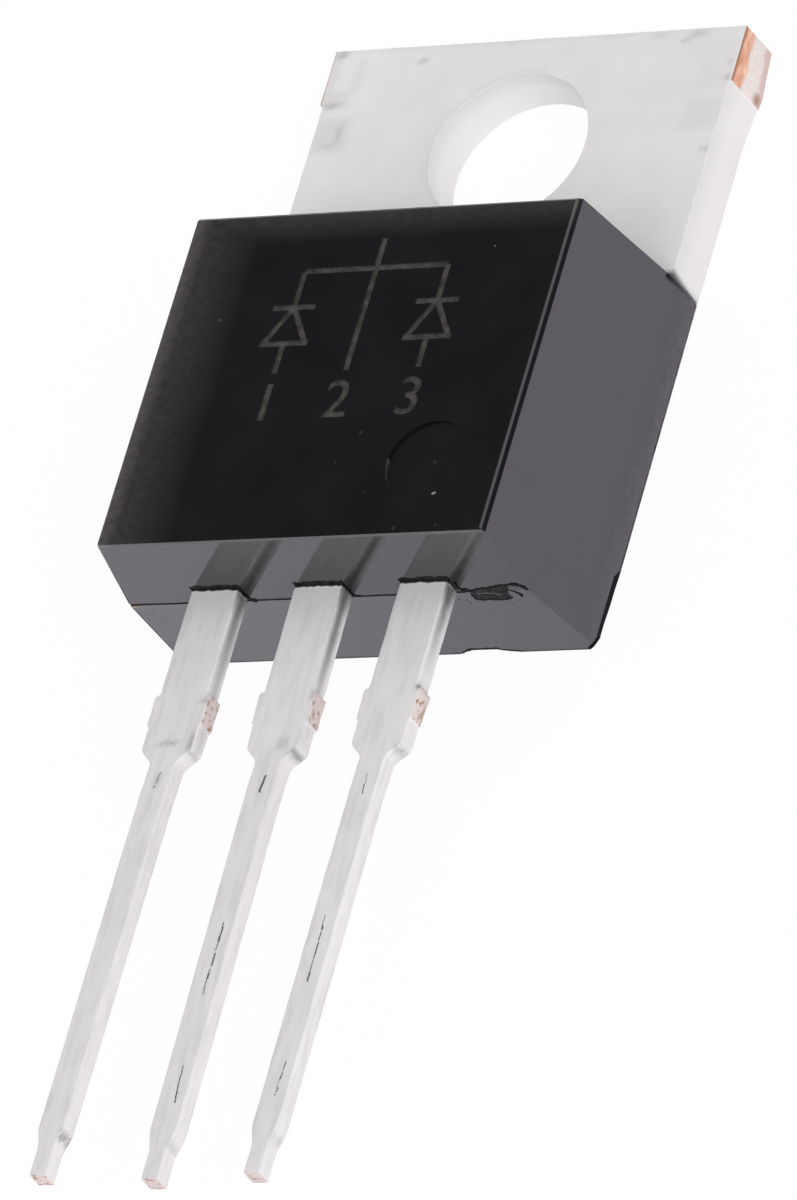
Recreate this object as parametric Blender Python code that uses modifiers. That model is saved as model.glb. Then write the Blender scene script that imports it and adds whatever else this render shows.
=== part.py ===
"""A dual switching rectifier: two silicon dies on a plated copper frame with a tab and three leads, in epoxy.

It lies on its back. Z = 0 is the bare metal back that sits on a heat sink, X = 0 is the centre line, and Y = 0 is
where the tab leaves the moulding. The tab points to +Y, the leads point to -Y and the printed face looks up.
"""

import math

import bmesh
import bpy
from mathutils import Matrix, Vector

MM = 0.001

# Epoxy moulding
BODY_LENGTH = 8.78 * MM
BODY_WIDTH = 10.10 * MM  # across its back
BODY_THICKNESS = 4.62 * MM
SIDE_INSET = 0.33 * MM  # how far each side leans in between the back and the printed face
TAB_END_INSET = 0.34 * MM
LEAD_END_FRONT_INSET = 0.27 * MM
LEAD_END_REAR_INSET = 0.25 * MM
BODY_EDGE = 0.06 * MM
EJECTOR_DIAMETER = 1.90 * MM
EJECTOR_DEPTH = 0.07 * MM
EJECTOR_FROM_SIDE = 1.92 * MM
EJECTOR_FROM_LEAD_END = 2.05 * MM

# Tab and paddle, the thick gauge of the copper frame
TAB_SIDE_STEP = 0.02 * MM  # how far the tab's sides lie inside the moulding's back
TAB_REACH = 6.28 * MM
TAB_THICKNESS = 1.17 * MM
HOLE_DIAMETER = 3.79 * MM
HOLE_TO_TAB_TOP = 2.80 * MM
TIE_BAR_WIDTH = 1.38 * MM
TIE_BAR_STUB = 0.04 * MM
TIE_BAR_CORNER = 0.06 * MM
PADDLE_SIDE_COVER = 1.05 * MM  # epoxy beside the paddle, at the moulding's back
PADDLE_END_COVER = 2.53 * MM  # epoxy between the paddle's end and the moulding's lead end

# Leads, the thin gauge
LEAD_PITCH = 2.54 * MM
LEAD_THICKNESS = 0.42 * MM
LEAD_HEIGHT = 2.72 * MM  # from the metal back to the back of the leads
LEAD_LENGTH = 13.98 * MM
LEAD_WIDTH = 1.15 * MM
DAMBAR_FROM_BODY = 2.55 * MM
DAMBAR_WIDTH = 0.70 * MM
DAMBAR_STUB = 0.10 * MM
DAMBAR_CORNER = 0.05 * MM
HEEL_STUB = 0.05 * MM
HEEL_FROM_BODY = 3.80 * MM
SHOULDER_LENGTH = 0.42 * MM
SHANK_WIDTH = 0.62 * MM
POINT_LENGTH = 1.20 * MM
NECK_LENGTH = 0.60 * MM
TIP_WIDTH = 0.38 * MM
LEFT_BEND = 0.10 * MM  # how far each lead is bent back at its tip
CENTRE_BEND = 0.30 * MM
RIGHT_BEND = 0.12 * MM

# Centre lead's step up from the paddle
FOOT_SUNK = 0.10 * MM
FOOT_LENGTH = 0.80 * MM
STEP_ANGLE = math.radians(60)
STEP_RADIUS = 0.50 * MM

# Side leads' bond posts inside the moulding
POST_FROM_LEAD_END = 0.80 * MM
POST_DEPTH = 1.60 * MM
POST_SHOULDER = 0.25 * MM
POST_CLEARANCE = 0.75 * MM
POST_COVER = 0.75 * MM

# Dies, their solder and their wires
DIE_SIDE = 2.60 * MM
DIE_THICKNESS = 0.28 * MM
DIE_SPACING = 1.30 * MM
DIE_FROM_PADDLE_END = 0.90 * MM
SOLDER_THICKNESS = 0.06 * MM
SOLDER_BORDER = 0.12 * MM
WIRE_DIAMETER = 0.40 * MM
WIRE_FOOT = 0.70 * MM
WIRE_COVER = 0.60 * MM

# Clearances between pieces that are bonded or moulded to each other
SEAT_GAP = 0.02 * MM

# Facets, and the overlap that a cutter or a joined shape is given
HOLE_SIDES = 72
ARC_STEPS = 6
WIRE_STEPS = 14
OVERRUN = 1.0 * MM
PADDLE_OVERLAP = 0.5 * MM
CURVE_SCALE = 1000  # outlines are drawn this much larger, because a curve's fill merges close points

# Places worked out from the sizes
LEAD_END_Y = -BODY_LENGTH
TAB_HALF_WIDTH = BODY_WIDTH / 2 - TAB_SIDE_STEP
PADDLE_HALF_WIDTH = BODY_WIDTH / 2 - PADDLE_SIDE_COVER
PADDLE_END_Y = LEAD_END_Y + PADDLE_END_COVER
LEAD_FRONT = LEAD_HEIGHT + LEAD_THICKNESS
POST_LOW_Y = LEAD_END_Y + POST_FROM_LEAD_END
POST_HIGH_Y = POST_LOW_Y + POST_DEPTH
DIE_X = (DIE_SIDE + DIE_SPACING) / 2
DIE_Y = PADDLE_END_Y + DIE_FROM_PADDLE_END + DIE_SIDE / 2
SOLDER_BOTTOM = TAB_THICKNESS + SEAT_GAP
DIE_BOTTOM = SOLDER_BOTTOM + SOLDER_THICKNESS + SEAT_GAP
DIE_TOP = DIE_BOTTOM + DIE_THICKNESS


def clear_scene():
    for thing in list(bpy.data.objects):
        bpy.data.objects.remove(thing)


def new_collection(name):
    collection = bpy.data.collections.new(name)
    bpy.context.scene.collection.children.link(collection)
    return collection


def new_material(name, colour, roughness, metallic):
    material = bpy.data.materials.new(name)
    material.use_nodes = True
    shader = material.node_tree.nodes["Principled BSDF"]
    shader.inputs["Base Color"].default_value = (*colour, 1)
    shader.inputs["Roughness"].default_value = roughness
    shader.inputs["Metallic"].default_value = metallic
    return material


def mesh_object(name, mesh, collection, place=Matrix.Identity(4)):
    thing = bpy.data.objects.new(name, mesh)
    thing.matrix_world = place
    collection.objects.link(thing)
    return thing


def mesh_from_curve(name, curve, collection, place=Matrix.Identity(4)):
    """Turns a curve into a mesh object with its caps welded."""
    drawn = bpy.data.objects.new(name + "_curve", curve)
    collection.objects.link(drawn)
    graph = bpy.context.evaluated_depsgraph_get()
    mesh = bpy.data.meshes.new_from_object(drawn.evaluated_get(graph))
    bpy.data.objects.remove(drawn)
    shape = bmesh.new()
    shape.from_mesh(mesh)
    bmesh.ops.remove_doubles(shape, verts=shape.verts, dist=1e-7 * CURVE_SCALE)
    bmesh.ops.recalc_face_normals(shape, faces=shape.faces)
    bmesh.ops.scale(shape, verts=shape.verts, vec=Vector((1, 1, 1)) / CURVE_SCALE)
    shape.to_mesh(mesh)
    shape.free()
    return mesh_object(name, mesh, collection, place)


# How an outline's own plane is turned: seen from the front, from the side, or from the lead end
PLAN = Matrix.Identity(3)
SIDE_VIEW = Matrix(((0, 0, 1), (1, 0, 0), (0, 1, 0)))
END_VIEW = Matrix(((1, 0, 0), (0, 0, -1), (0, 1, 0)))


def extruded(name, outlines, low, high, collection, view=PLAN):
    """A closed solid from an outline, and any holes in it, extruded from low to high across its plane."""
    curve = bpy.data.curves.new(name, "CURVE")
    curve.dimensions = "2D"
    curve.fill_mode = "BOTH"
    curve.extrude = (high - low) / 2 * CURVE_SCALE
    for outline in outlines:
        spline = curve.splines.new("POLY")
        spline.points.add(len(outline) - 1)
        for point, (across, along) in zip(spline.points, outline):
            point.co = (across * CURVE_SCALE, along * CURVE_SCALE, 0, 1)
        spline.use_cyclic_u = True
    middle = (low + high) / 2
    depth = view.col[2] if view is not END_VIEW else -view.col[2]
    place = Matrix.Translation(depth * middle) @ view.to_4x4()
    return mesh_from_curve(name, curve, collection, place)


def tube(name, path, diameter, collection):
    curve = bpy.data.curves.new(name, "CURVE")
    curve.dimensions = "3D"
    curve.bevel_depth = diameter / 2 * CURVE_SCALE
    curve.bevel_resolution = 2
    curve.use_fill_caps = True
    spline = curve.splines.new("POLY")
    spline.points.add(len(path) - 1)
    for point, place in zip(spline.points, path):
        point.co = (*(place * CURVE_SCALE), 1)
    return mesh_from_curve(name, curve, collection)


def block(name, low, high, collection):
    shape = bmesh.new()
    bmesh.ops.create_cube(shape, size=1)
    size = Vector(high) - Vector(low)
    bmesh.ops.scale(shape, verts=shape.verts, vec=size)
    bmesh.ops.translate(shape, verts=shape.verts, vec=(Vector(low) + Vector(high)) / 2)
    mesh = bpy.data.meshes.new(name)
    shape.to_mesh(mesh)
    shape.free()
    return mesh_object(name, mesh, collection)


def boolean(thing, operation, other):
    modifier = thing.modifiers.new(other.name, "BOOLEAN")
    modifier.operation = operation
    modifier.solver = "EXACT"
    modifier.object = other


def make_helper(thing):
    """Keeps a shape that others are cut by or joined with out of the part."""
    thing.hide_render = True
    thing.display_type = "WIRE"


def arc(centre, radius, start, end, steps=ARC_STEPS):
    angles = [start + (end - start) * i / steps for i in range(steps + 1)]
    return [(centre[0] + radius * math.cos(a), centre[1] + radius * math.sin(a)) for a in angles]


def mirrored(points):
    return [(-x, y) for x, y in reversed(points)]


# Leads


def eased(t):
    return (1 - math.cos(math.pi * t)) / 2


def shank_profile():
    """(distance below the moulding, half width) from a lead's root to its cut tip."""
    root = LEAD_WIDTH / 2
    heel = root + HEEL_STUB
    shank = SHANK_WIDTH / 2
    tip = TIP_WIDTH / 2
    dambar_end = DAMBAR_FROM_BODY + DAMBAR_WIDTH
    point = LEAD_LENGTH - POINT_LENGTH
    profile = [(0, root), (DAMBAR_FROM_BODY - DAMBAR_CORNER, root)]
    profile += [(DAMBAR_FROM_BODY, root + DAMBAR_STUB), (dambar_end, root + DAMBAR_STUB)]
    profile.append((dambar_end + DAMBAR_CORNER, heel))
    steps = [i / ARC_STEPS for i in range(ARC_STEPS + 1)]
    profile += [(HEEL_FROM_BODY + SHOULDER_LENGTH * t, heel + (shank - heel) * eased(t)) for t in steps]
    profile += [(point + (POINT_LENGTH - NECK_LENGTH) * t, shank + (tip - shank) * eased(t)) for t in steps]
    profile.append((LEAD_LENGTH, tip))
    return profile


def lead_plan(centre, inner):
    """Plan of one lead: its part inside the moulding, then down one side to the tip and up the other."""
    profile = shank_profile()
    down = [(centre + half, LEAD_END_Y - distance) for distance, half in profile]
    up = [(centre - half, LEAD_END_Y - distance) for distance, half in profile]
    return inner + down + up[::-1]


def outer_line(bend):
    """(Y, Z, rise angle) down a lead's middle from the moulding to past its tip, which is bent back."""
    z = LEAD_HEIGHT + LEAD_THICKNESS / 2
    reach = LEAD_LENGTH + OVERRUN
    angle = math.atan(bend / LEAD_LENGTH)
    return [(LEAD_END_Y, z, 0.0), (LEAD_END_Y - reach, z - reach * math.tan(angle), -angle)]


def strip_outline(line, grow=0.0):
    """Side view of a strip of the leads' gauge that follows a line."""
    half = LEAD_THICKNESS / 2 + grow
    above = [(y + half * math.sin(a), z + half * math.cos(a)) for y, z, a in line]
    below = [(y - half * math.sin(a), z - half * math.cos(a)) for y, z, a in line]
    return above + below[::-1]


def bent_lead(name, plan, line, parts, cutters):
    """A lead is what its plan and its side view have in common."""
    lead = extruded(name, [plan], 0, BODY_THICKNESS, parts)
    reach = BODY_WIDTH / 2
    strip = extruded(name + "_strip", [strip_outline(line)], -reach, reach, cutters, SIDE_VIEW)
    boolean(lead, "INTERSECT", strip)
    make_helper(strip)
    return lead


def post_outline(grow=0.0):
    """The right lead's bond post, from the neck's inner side round to its outer side."""
    inner = LEAD_WIDTH / 2 + POST_CLEARANCE - grow
    outer = BODY_WIDTH / 2 - SIDE_INSET - POST_COVER + grow
    neck = LEAD_WIDTH / 2 + grow
    low, high = POST_LOW_Y - grow, POST_HIGH_Y + grow
    return [
        (LEAD_PITCH - neck, low),
        (inner, low + POST_SHOULDER),
        (inner, high),
        (outer, high),
        (outer, low + POST_SHOULDER),
        (LEAD_PITCH + neck, low),
    ]


def side_lead(name, side, bend, parts, cutters):
    plan = lead_plan(LEAD_PITCH, post_outline())
    line = [(POST_HIGH_Y + OVERRUN, LEAD_HEIGHT + LEAD_THICKNESS / 2, 0.0)] + outer_line(bend)
    return bent_lead(name, plan if side > 0 else mirrored(plan), line, parts, cutters)


def side_lead_pocket(name, side, cutters):
    """The room that a side lead takes in the epoxy, out through the lead end."""
    neck = LEAD_WIDTH / 2 + SEAT_GAP
    outside = LEAD_END_Y - OVERRUN
    outline = post_outline(SEAT_GAP) + [(LEAD_PITCH + neck, outside), (LEAD_PITCH - neck, outside)]
    placed = outline if side > 0 else mirrored(outline)
    return extruded(name, [placed], LEAD_HEIGHT - SEAT_GAP, LEAD_FRONT + SEAT_GAP, cutters)


# Tab, paddle and centre lead


def tab_outline():
    """Plan of the tab, with the cut tie bars at its top corners."""
    half = TAB_HALF_WIDTH
    tie_bar = TAB_REACH - TIE_BAR_WIDTH
    right = [
        (half, SEAT_GAP),
        (half, tie_bar - TIE_BAR_CORNER),
        (half + TIE_BAR_STUB, tie_bar),
        (half + TIE_BAR_STUB, TAB_REACH),
    ]
    return right + mirrored(right)


def hole_outline():
    centre = (0, TAB_REACH - HOLE_TO_TAB_TOP)
    return arc(centre, HOLE_DIAMETER / 2, 0, 2 * math.pi, HOLE_SIDES)[:-1]


def step_line():
    """(Y, Z, rise angle) up the centre lead's step, from inside the paddle to the leads' own height."""
    foot_z = TAB_THICKNESS - FOOT_SUNK - LEAD_THICKNESS / 2
    lead_z = LEAD_HEIGHT + LEAD_THICKNESS / 2
    rise_in_bends = 2 * STEP_RADIUS * (1 - math.cos(STEP_ANGLE))
    slope = (lead_z - foot_z - rise_in_bends) / math.sin(STEP_ANGLE)
    low_y = PADDLE_END_Y - SEAT_GAP
    high_y = low_y - 2 * STEP_RADIUS * math.sin(STEP_ANGLE) - slope * math.cos(STEP_ANGLE)
    angles = [STEP_ANGLE * i / ARC_STEPS for i in range(ARC_STEPS + 1)]
    line = [(PADDLE_END_Y + FOOT_LENGTH, foot_z, 0.0)]
    line += [(low_y - STEP_RADIUS * math.sin(a), foot_z + STEP_RADIUS * (1 - math.cos(a)), a) for a in angles]
    line += [
        (high_y + STEP_RADIUS * math.sin(a), lead_z - STEP_RADIUS * (1 - math.cos(a)), a)
        for a in reversed(angles)
    ]
    return line


def tab_and_centre_lead(parts, cutters):
    plate = extruded("tab_and_centre_lead", [tab_outline(), hole_outline()], 0, TAB_THICKNESS, parts)
    paddle_low = (-PADDLE_HALF_WIDTH, PADDLE_END_Y, 0)
    paddle_high = (PADDLE_HALF_WIDTH, PADDLE_OVERLAP, TAB_THICKNESS)
    paddle = block("paddle", paddle_low, paddle_high, cutters)
    neck, foot = LEAD_WIDTH / 2, PADDLE_END_Y + FOOT_LENGTH
    plan = lead_plan(0, [(-neck, foot), (neck, foot)])
    line = step_line() + outer_line(CENTRE_BEND)
    line[0] = (foot + OVERRUN, *line[0][1:])
    lead = bent_lead("centre_lead", plan, line, cutters, cutters)
    for joined in (paddle, lead):
        boolean(plate, "UNION", joined)
        make_helper(joined)
    return plate


def paddle_pocket(cutters):
    """The room that the paddle takes, open at the moulding's back and tab end."""
    half = PADDLE_HALF_WIDTH + SEAT_GAP
    low = (-half, PADDLE_END_Y - SEAT_GAP, -OVERRUN)
    high = (half, OVERRUN, TAB_THICKNESS + SEAT_GAP)
    return block("paddle_pocket", low, high, cutters)


def centre_lead_pocket(cutters):
    half = LEAD_WIDTH / 2 + SEAT_GAP
    straight = step_line() + [(LEAD_END_Y - OVERRUN, LEAD_HEIGHT + LEAD_THICKNESS / 2, 0.0)]
    outline = strip_outline(straight, SEAT_GAP)
    return extruded("centre_lead_pocket", [outline], -half, half, cutters, SIDE_VIEW)


# Dies and wires


def die(name, side, parts):
    low = (side * DIE_X - DIE_SIDE / 2, DIE_Y - DIE_SIDE / 2, DIE_BOTTOM)
    high = (side * DIE_X + DIE_SIDE / 2, DIE_Y + DIE_SIDE / 2, DIE_TOP)
    return block(name, low, high, parts)


def die_solder(name, side, parts):
    half = DIE_SIDE / 2 + SOLDER_BORDER
    low = (side * DIE_X - half, DIE_Y - half, SOLDER_BOTTOM)
    high = (side * DIE_X + half, DIE_Y + half, SOLDER_BOTTOM + SOLDER_THICKNESS)
    return block(name, low, high, parts)


def die_pocket(name, side, cutters):
    """The room of one die and its solder, joined to the paddle's room below."""
    half = DIE_SIDE / 2 + SOLDER_BORDER + SEAT_GAP
    low = (side * DIE_X - half, DIE_Y - half, TAB_THICKNESS / 2)
    high = (side * DIE_X + half, DIE_Y + half, DIE_TOP + SEAT_GAP)
    return block(name, low, high, cutters)


def wire_path(side):
    """A flat foot on the die, a loop over the paddle's end, and a flat foot on the post."""
    lift = WIRE_DIAMETER / 2 + SEAT_GAP
    post_x = (LEAD_WIDTH / 2 + POST_CLEARANCE + BODY_WIDTH / 2 - SIDE_INSET - POST_COVER) / 2
    post_y = (POST_LOW_Y + POST_HIGH_Y) / 2
    half_foot = Vector((0, WIRE_FOOT / 2, 0))
    start = Vector((side * DIE_X, DIE_Y, DIE_TOP + lift)) - half_foot
    end = Vector((side * post_x, post_y, LEAD_FRONT + lift)) + half_foot
    # Two thirds of the way along, both the rise and the hump have reached three quarters
    loop_top = BODY_THICKNESS - WIRE_COVER - WIRE_DIAMETER / 2
    rise = end.z - start.z
    hump = (loop_top - start.z) / 0.75 - rise
    path = [start + 2 * half_foot]
    for i in range(WIRE_STEPS + 1):
        t = i / WIRE_STEPS
        place = start.lerp(end, t)
        place.z = start.z + rise * eased(t) + hump * math.sin(math.pi * t) ** 2
        path.append(place)
    path.append(end - 2 * half_foot)
    return path


# Moulding


def blank_side_view():
    """The moulding from the side, with its parting edge at the lead end on the back of the leads."""
    return [
        (LEAD_END_Y + LEAD_END_REAR_INSET, 0),
        (LEAD_END_Y, LEAD_HEIGHT),
        (LEAD_END_Y + LEAD_END_FRONT_INSET, BODY_THICKNESS),
        (-TAB_END_INSET, BODY_THICKNESS),
        (0, TAB_THICKNESS),
        (0, 0),
    ]


def blank_end_view():
    """The moulding's drafted sides, seen from the lead end and carried past its back and its front."""
    spread = SIDE_INSET * OVERRUN / BODY_THICKNESS
    right = [
        (BODY_WIDTH / 2 + spread, -OVERRUN),
        (BODY_WIDTH / 2 - SIDE_INSET - spread, BODY_THICKNESS + OVERRUN),
    ]
    return right + mirrored(right)


def ejector_cutter(cutters):
    """The shallow round mark that an ejector pin leaves in the printed face."""
    centre = (BODY_WIDTH / 2 - SIDE_INSET - EJECTOR_FROM_SIDE, LEAD_END_Y + EJECTOR_FROM_LEAD_END)
    outline = arc(centre, EJECTOR_DIAMETER / 2, 0, 2 * math.pi, HOLE_SIDES)[:-1]
    floor = BODY_THICKNESS - EJECTOR_DEPTH
    return extruded("ejector_cutter", [outline], floor, BODY_THICKNESS + OVERRUN, cutters)


def moulded_body(parts, cutters):
    """The drafted blank, with the room that each inner piece takes cut out of it."""
    half = BODY_WIDTH / 2 + OVERRUN
    body = extruded("moulded_body", [blank_side_view()], -half, half, parts, SIDE_VIEW)
    sides = extruded("side_drafts", [blank_end_view()], LEAD_END_Y - OVERRUN, OVERRUN, cutters, END_VIEW)
    boolean(body, "INTERSECT", sides)
    make_helper(sides)
    bevel = body.modifiers.new("mould edges", "BEVEL")
    bevel.width = BODY_EDGE
    bevel.segments = 2
    bevel.limit_method = "ANGLE"
    pockets = [paddle_pocket(cutters), centre_lead_pocket(cutters), ejector_cutter(cutters)]
    for side_name, side in (("left", -1), ("right", 1)):
        pockets.append(side_lead_pocket(side_name + "_lead_pocket", side, cutters))
        pockets.append(die_pocket(side_name + "_die_pocket", side, cutters))
        pockets.append(
            tube(side_name + "_wire_pocket", wire_path(side), WIRE_DIAMETER + 2 * SEAT_GAP, cutters)
        )
    for pocket in pockets:
        make_helper(pocket)
        boolean(body, "DIFFERENCE", pocket)
    return body


def finish(thing, material):
    thing.data.materials.clear()
    thing.data.materials.append(material)


def main():
    clear_scene()
    parts = new_collection("switching_diode")
    cutters = new_collection("cutters")
    epoxy = new_material("black epoxy", (0.018, 0.018, 0.02), 0.3, 0.0)
    tin = new_material("matte tin plating", (0.78, 0.77, 0.76), 0.4, 1.0)
    silicon = new_material("silicon", (0.24, 0.25, 0.29), 0.25, 0.6)
    solder = new_material("die solder", (0.5, 0.5, 0.52), 0.45, 1.0)
    aluminium = new_material("bond wire aluminium", (0.85, 0.85, 0.86), 0.35, 1.0)
    finish(moulded_body(parts, cutters), epoxy)
    finish(tab_and_centre_lead(parts, cutters), tin)
    for side_name, side, bend in (("left", -1, LEFT_BEND), ("right", 1, RIGHT_BEND)):
        finish(side_lead(side_name + "_lead", side, bend, parts, cutters), tin)
        finish(die_solder(side_name + "_die_solder", side, parts), solder)
        finish(die(side_name + "_die", side, parts), silicon)
        finish(tube(side_name + "_bond_wire", wire_path(side), WIRE_DIAMETER, parts), aluminium)


main()
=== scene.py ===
"""A switching diode in a flat tab package, lying on its back on a white table and seen over one corner.

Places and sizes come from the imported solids. The moulding and the three metal pieces are copies of their solids
with finer edges, dents, cuts and marks. The chips, their solder and their wires are sealed in and keep theirs.
"""

import math
import random

import bmesh
import bpy
from mathutils import Matrix, Vector, noise


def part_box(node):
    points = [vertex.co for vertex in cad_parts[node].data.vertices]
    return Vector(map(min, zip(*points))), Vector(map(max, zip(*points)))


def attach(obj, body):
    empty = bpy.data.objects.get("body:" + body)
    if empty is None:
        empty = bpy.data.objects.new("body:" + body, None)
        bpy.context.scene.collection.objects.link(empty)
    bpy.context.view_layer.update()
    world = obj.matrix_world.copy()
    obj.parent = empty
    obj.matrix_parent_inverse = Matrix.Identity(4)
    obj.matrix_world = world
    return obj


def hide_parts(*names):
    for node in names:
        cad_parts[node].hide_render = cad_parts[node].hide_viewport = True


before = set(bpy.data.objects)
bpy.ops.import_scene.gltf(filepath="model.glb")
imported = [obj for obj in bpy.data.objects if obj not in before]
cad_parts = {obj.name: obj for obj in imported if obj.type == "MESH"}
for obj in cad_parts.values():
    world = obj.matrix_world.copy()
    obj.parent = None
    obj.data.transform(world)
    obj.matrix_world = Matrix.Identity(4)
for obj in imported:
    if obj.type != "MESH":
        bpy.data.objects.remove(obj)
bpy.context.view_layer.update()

MM = 0.001


def heights(node, picks):
    """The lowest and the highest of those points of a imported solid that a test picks."""
    places = [vertex.co.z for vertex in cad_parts[node].data.vertices if picks(vertex.co)]
    return min(places), max(places)


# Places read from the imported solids
BODY_LOW, BODY_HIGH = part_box("moulded_body")
LEAD_END_Y = BODY_LOW.y
PRINTED_Z = BODY_HIGH.z
TAB_TOP_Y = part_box("tab_and_centre_lead")[1].y
TAB_FRONT_Z = heights("tab_and_centre_lead", lambda point: point.y > MM)[1]
LEAD_BACK_Z, LEAD_FRONT_Z = heights("right_lead", lambda point: point.y > LEAD_END_Y + 0.1 * MM)
LEAD_THICKNESS = LEAD_FRONT_Z - LEAD_BACK_Z

# The leads' pitch, half the width of their wide part, and where its stretches are, measured down from the moulding
LEAD_PITCH = 2.54 * MM
LEAD_HALF_WIDTH = 0.575 * MM
DAMBAR_START = 2.55 * MM
DAMBAR_END = 3.25 * MM
HEEL_END = 4.2 * MM

# The tab's hole, and how far its cut tie bars reach down from its top
HOLE_Y = 3.48 * MM
HOLE_RADIUS = 1.895 * MM
TIE_BAR_WIDTH = 1.38 * MM

# How far the moulding's drafted faces lean in from the back or from the parting line to the printed face
SIDE_INSET = 0.33 * MM
TAB_END_INSET = 0.34 * MM
LEAD_END_FRONT_INSET = 0.27 * MM
LEAD_END_REAR_INSET = 0.25 * MM

# The bevel along the edges of the moulding's solid, and within what depth and reach a point counts as on it
MOULD_EDGE = 0.06 * MM
EDGE_DEPTH = 1.1 * MOULD_EDGE
NEAR_EDGE = 1.2 * MOULD_EDGE

# The two facets of the printed face's right border, across and up the moulding: where they start, where they meet
# and where they end at the side. The line along which they meet reaches down to the last place, at the leads' end
BORDER_INNER_X = 4.56 * MM
BORDER_MIDDLE_X, BORDER_MIDDLE_Z = 4.625 * MM, 4.594 * MM
BORDER_OUTER_X, BORDER_OUTER_Z = 4.685 * MM, 4.528 * MM
BORDER_END_Y = -8.495 * MM

# Three places, in millimetres, on the plane of the moulding's broken corner
BROKEN_CORNER = (4.86, -8.53, 0), (5.05, -8.16, 0), (5.04, -8.55, 0.16)

# The photograph's view
CAMERA_TARGET = Vector((0.91, -8.14, 1.55)) * MM
CAMERA_DISTANCE = 284.0 * MM
CAMERA_AZIMUTH = math.radians(47.83)
CAMERA_ELEVATION = math.radians(45.57)
CAMERA_ROLL = math.radians(40.51)
LENS_MM = 410.3

# The metal's rolled edges, the steps at which its faces are cut for dents and ripples, and the reach within which
# points are welded
METAL_EDGE = 0.045 * MM
METAL_STEP = 0.13 * MM
WELD = 0.0002 * MM

# The turns between two faces from which their edge is rolled, and from which it is shaded as sharp
ROLLED_FROM = math.radians(30)
SHARP_FROM = math.radians(35)

# How far every lamp stands from the frame's origin
LAMP_DISTANCE = 420 * MM


# Studio


def direction(azimuth, elevation):
    """From the object towards a place round it, where azimuth 0 is the side that the leads point to."""
    level = math.cos(elevation)
    return Vector((math.sin(azimuth) * level, -math.cos(azimuth) * level, math.sin(elevation)))


def photograph_camera():
    back = direction(CAMERA_AZIMUTH, CAMERA_ELEVATION)
    level_right = Vector((math.cos(CAMERA_AZIMUTH), math.sin(CAMERA_AZIMUTH), 0))
    level_up = back.cross(level_right)
    right = level_right * math.cos(CAMERA_ROLL) - level_up * math.sin(CAMERA_ROLL)
    up = back.cross(right)
    turn = Matrix((right, up, back)).transposed().to_4x4()
    camera = bpy.data.objects.new("camera", bpy.data.cameras.new("camera"))
    camera.data.lens = LENS_MM
    camera.data.clip_start = 10 * MM
    camera.data.clip_end = 3000 * MM
    camera.matrix_world = Matrix.Translation(CAMERA_TARGET + back * CAMERA_DISTANCE) @ turn
    bpy.context.scene.collection.objects.link(camera)
    bpy.context.scene.camera = camera


def softbox(name, azimuth, elevation, side, level):
    """A square lamp. Level is how bright it alone makes a white surface that faces it."""
    lamp = bpy.data.lights.new(name, "AREA")
    lamp.size = side
    lamp.energy = level * (math.pi * LAMP_DISTANCE) ** 2
    holder = bpy.data.objects.new(name, lamp)
    towards = direction(math.radians(azimuth), math.radians(elevation))
    holder.location = towards * LAMP_DISTANCE
    holder.rotation_mode = "QUATERNION"
    holder.rotation_quaternion = towards.to_track_quat("Z", "Y")
    bpy.context.scene.collection.objects.link(holder)


def add(tree, kind, inputs=(), **settings):
    """Adds a node, then sets or links each input, which is given by its name or its number."""
    made = tree.nodes.new(kind)
    for name, value in settings.items():
        setattr(made, name, value)
    for key, value in dict(inputs).items():
        if isinstance(value, bpy.types.NodeSocket):
            tree.links.new(value, made.inputs[key])
        else:
            made.inputs[key].default_value = value
    return made


def maths(tree, operation, first, second=0.0):
    return add(tree, "ShaderNodeMath", {0: first, 1: second}, operation=operation).outputs[0]


def in_turn(tree, operation, values):
    result = values[0]
    for value in values[1:]:
        result = maths(tree, operation, result, value)
    return result


def product(tree, *values):
    return in_turn(tree, "MULTIPLY", values)


def total(tree, *values):
    return in_turn(tree, "ADD", values)


def largest(tree, *values):
    return in_turn(tree, "MAXIMUM", values)


def axes(tree, place):
    """How far across, along and up a place is."""
    return add(tree, "ShaderNodeSeparateXYZ", {0: place}).outputs


def spread(tree, value, low, high, to_low=0.0, to_high=1.0):
    """Maps a value from one range to another, clamped at both ends."""
    inputs = {"Value": value, "From Min": low, "From Max": high, "To Min": to_low, "To Max": to_high}
    return add(tree, "ShaderNodeMapRange", inputs).outputs[0]


def blend(tree, share, first, second):
    """Mixes two colours."""
    inputs = {0: share, 6: first, 7: second}
    return add(tree, "ShaderNodeMix", inputs, data_type="RGBA").outputs[2]


def white_world():
    """White as a background, dark overhead in reflections, and an even fill for the rest."""
    world = bpy.data.worlds.new("studio")
    world.use_nodes = True
    tree = world.node_tree
    paths = add(tree, "ShaderNodeLightPath")
    up = axes(tree, add(tree, "ShaderNodeTexCoord").outputs["Generated"])["Z"]
    overhead = spread(tree, up, 0.03, 0.15)
    reflected = blend(tree, overhead, (0.95, 0.95, 0.97, 1), (0.035, 0.036, 0.04, 1))
    colour = blend(tree, paths.outputs["Is Glossy Ray"], (0.68, 0.68, 0.68, 1), reflected)
    colour = blend(tree, paths.outputs["Is Camera Ray"], colour, (1, 1, 1, 1))
    tree.links.new(colour, tree.nodes["Background"].inputs["Color"])
    bpy.context.scene.world = world


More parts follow.
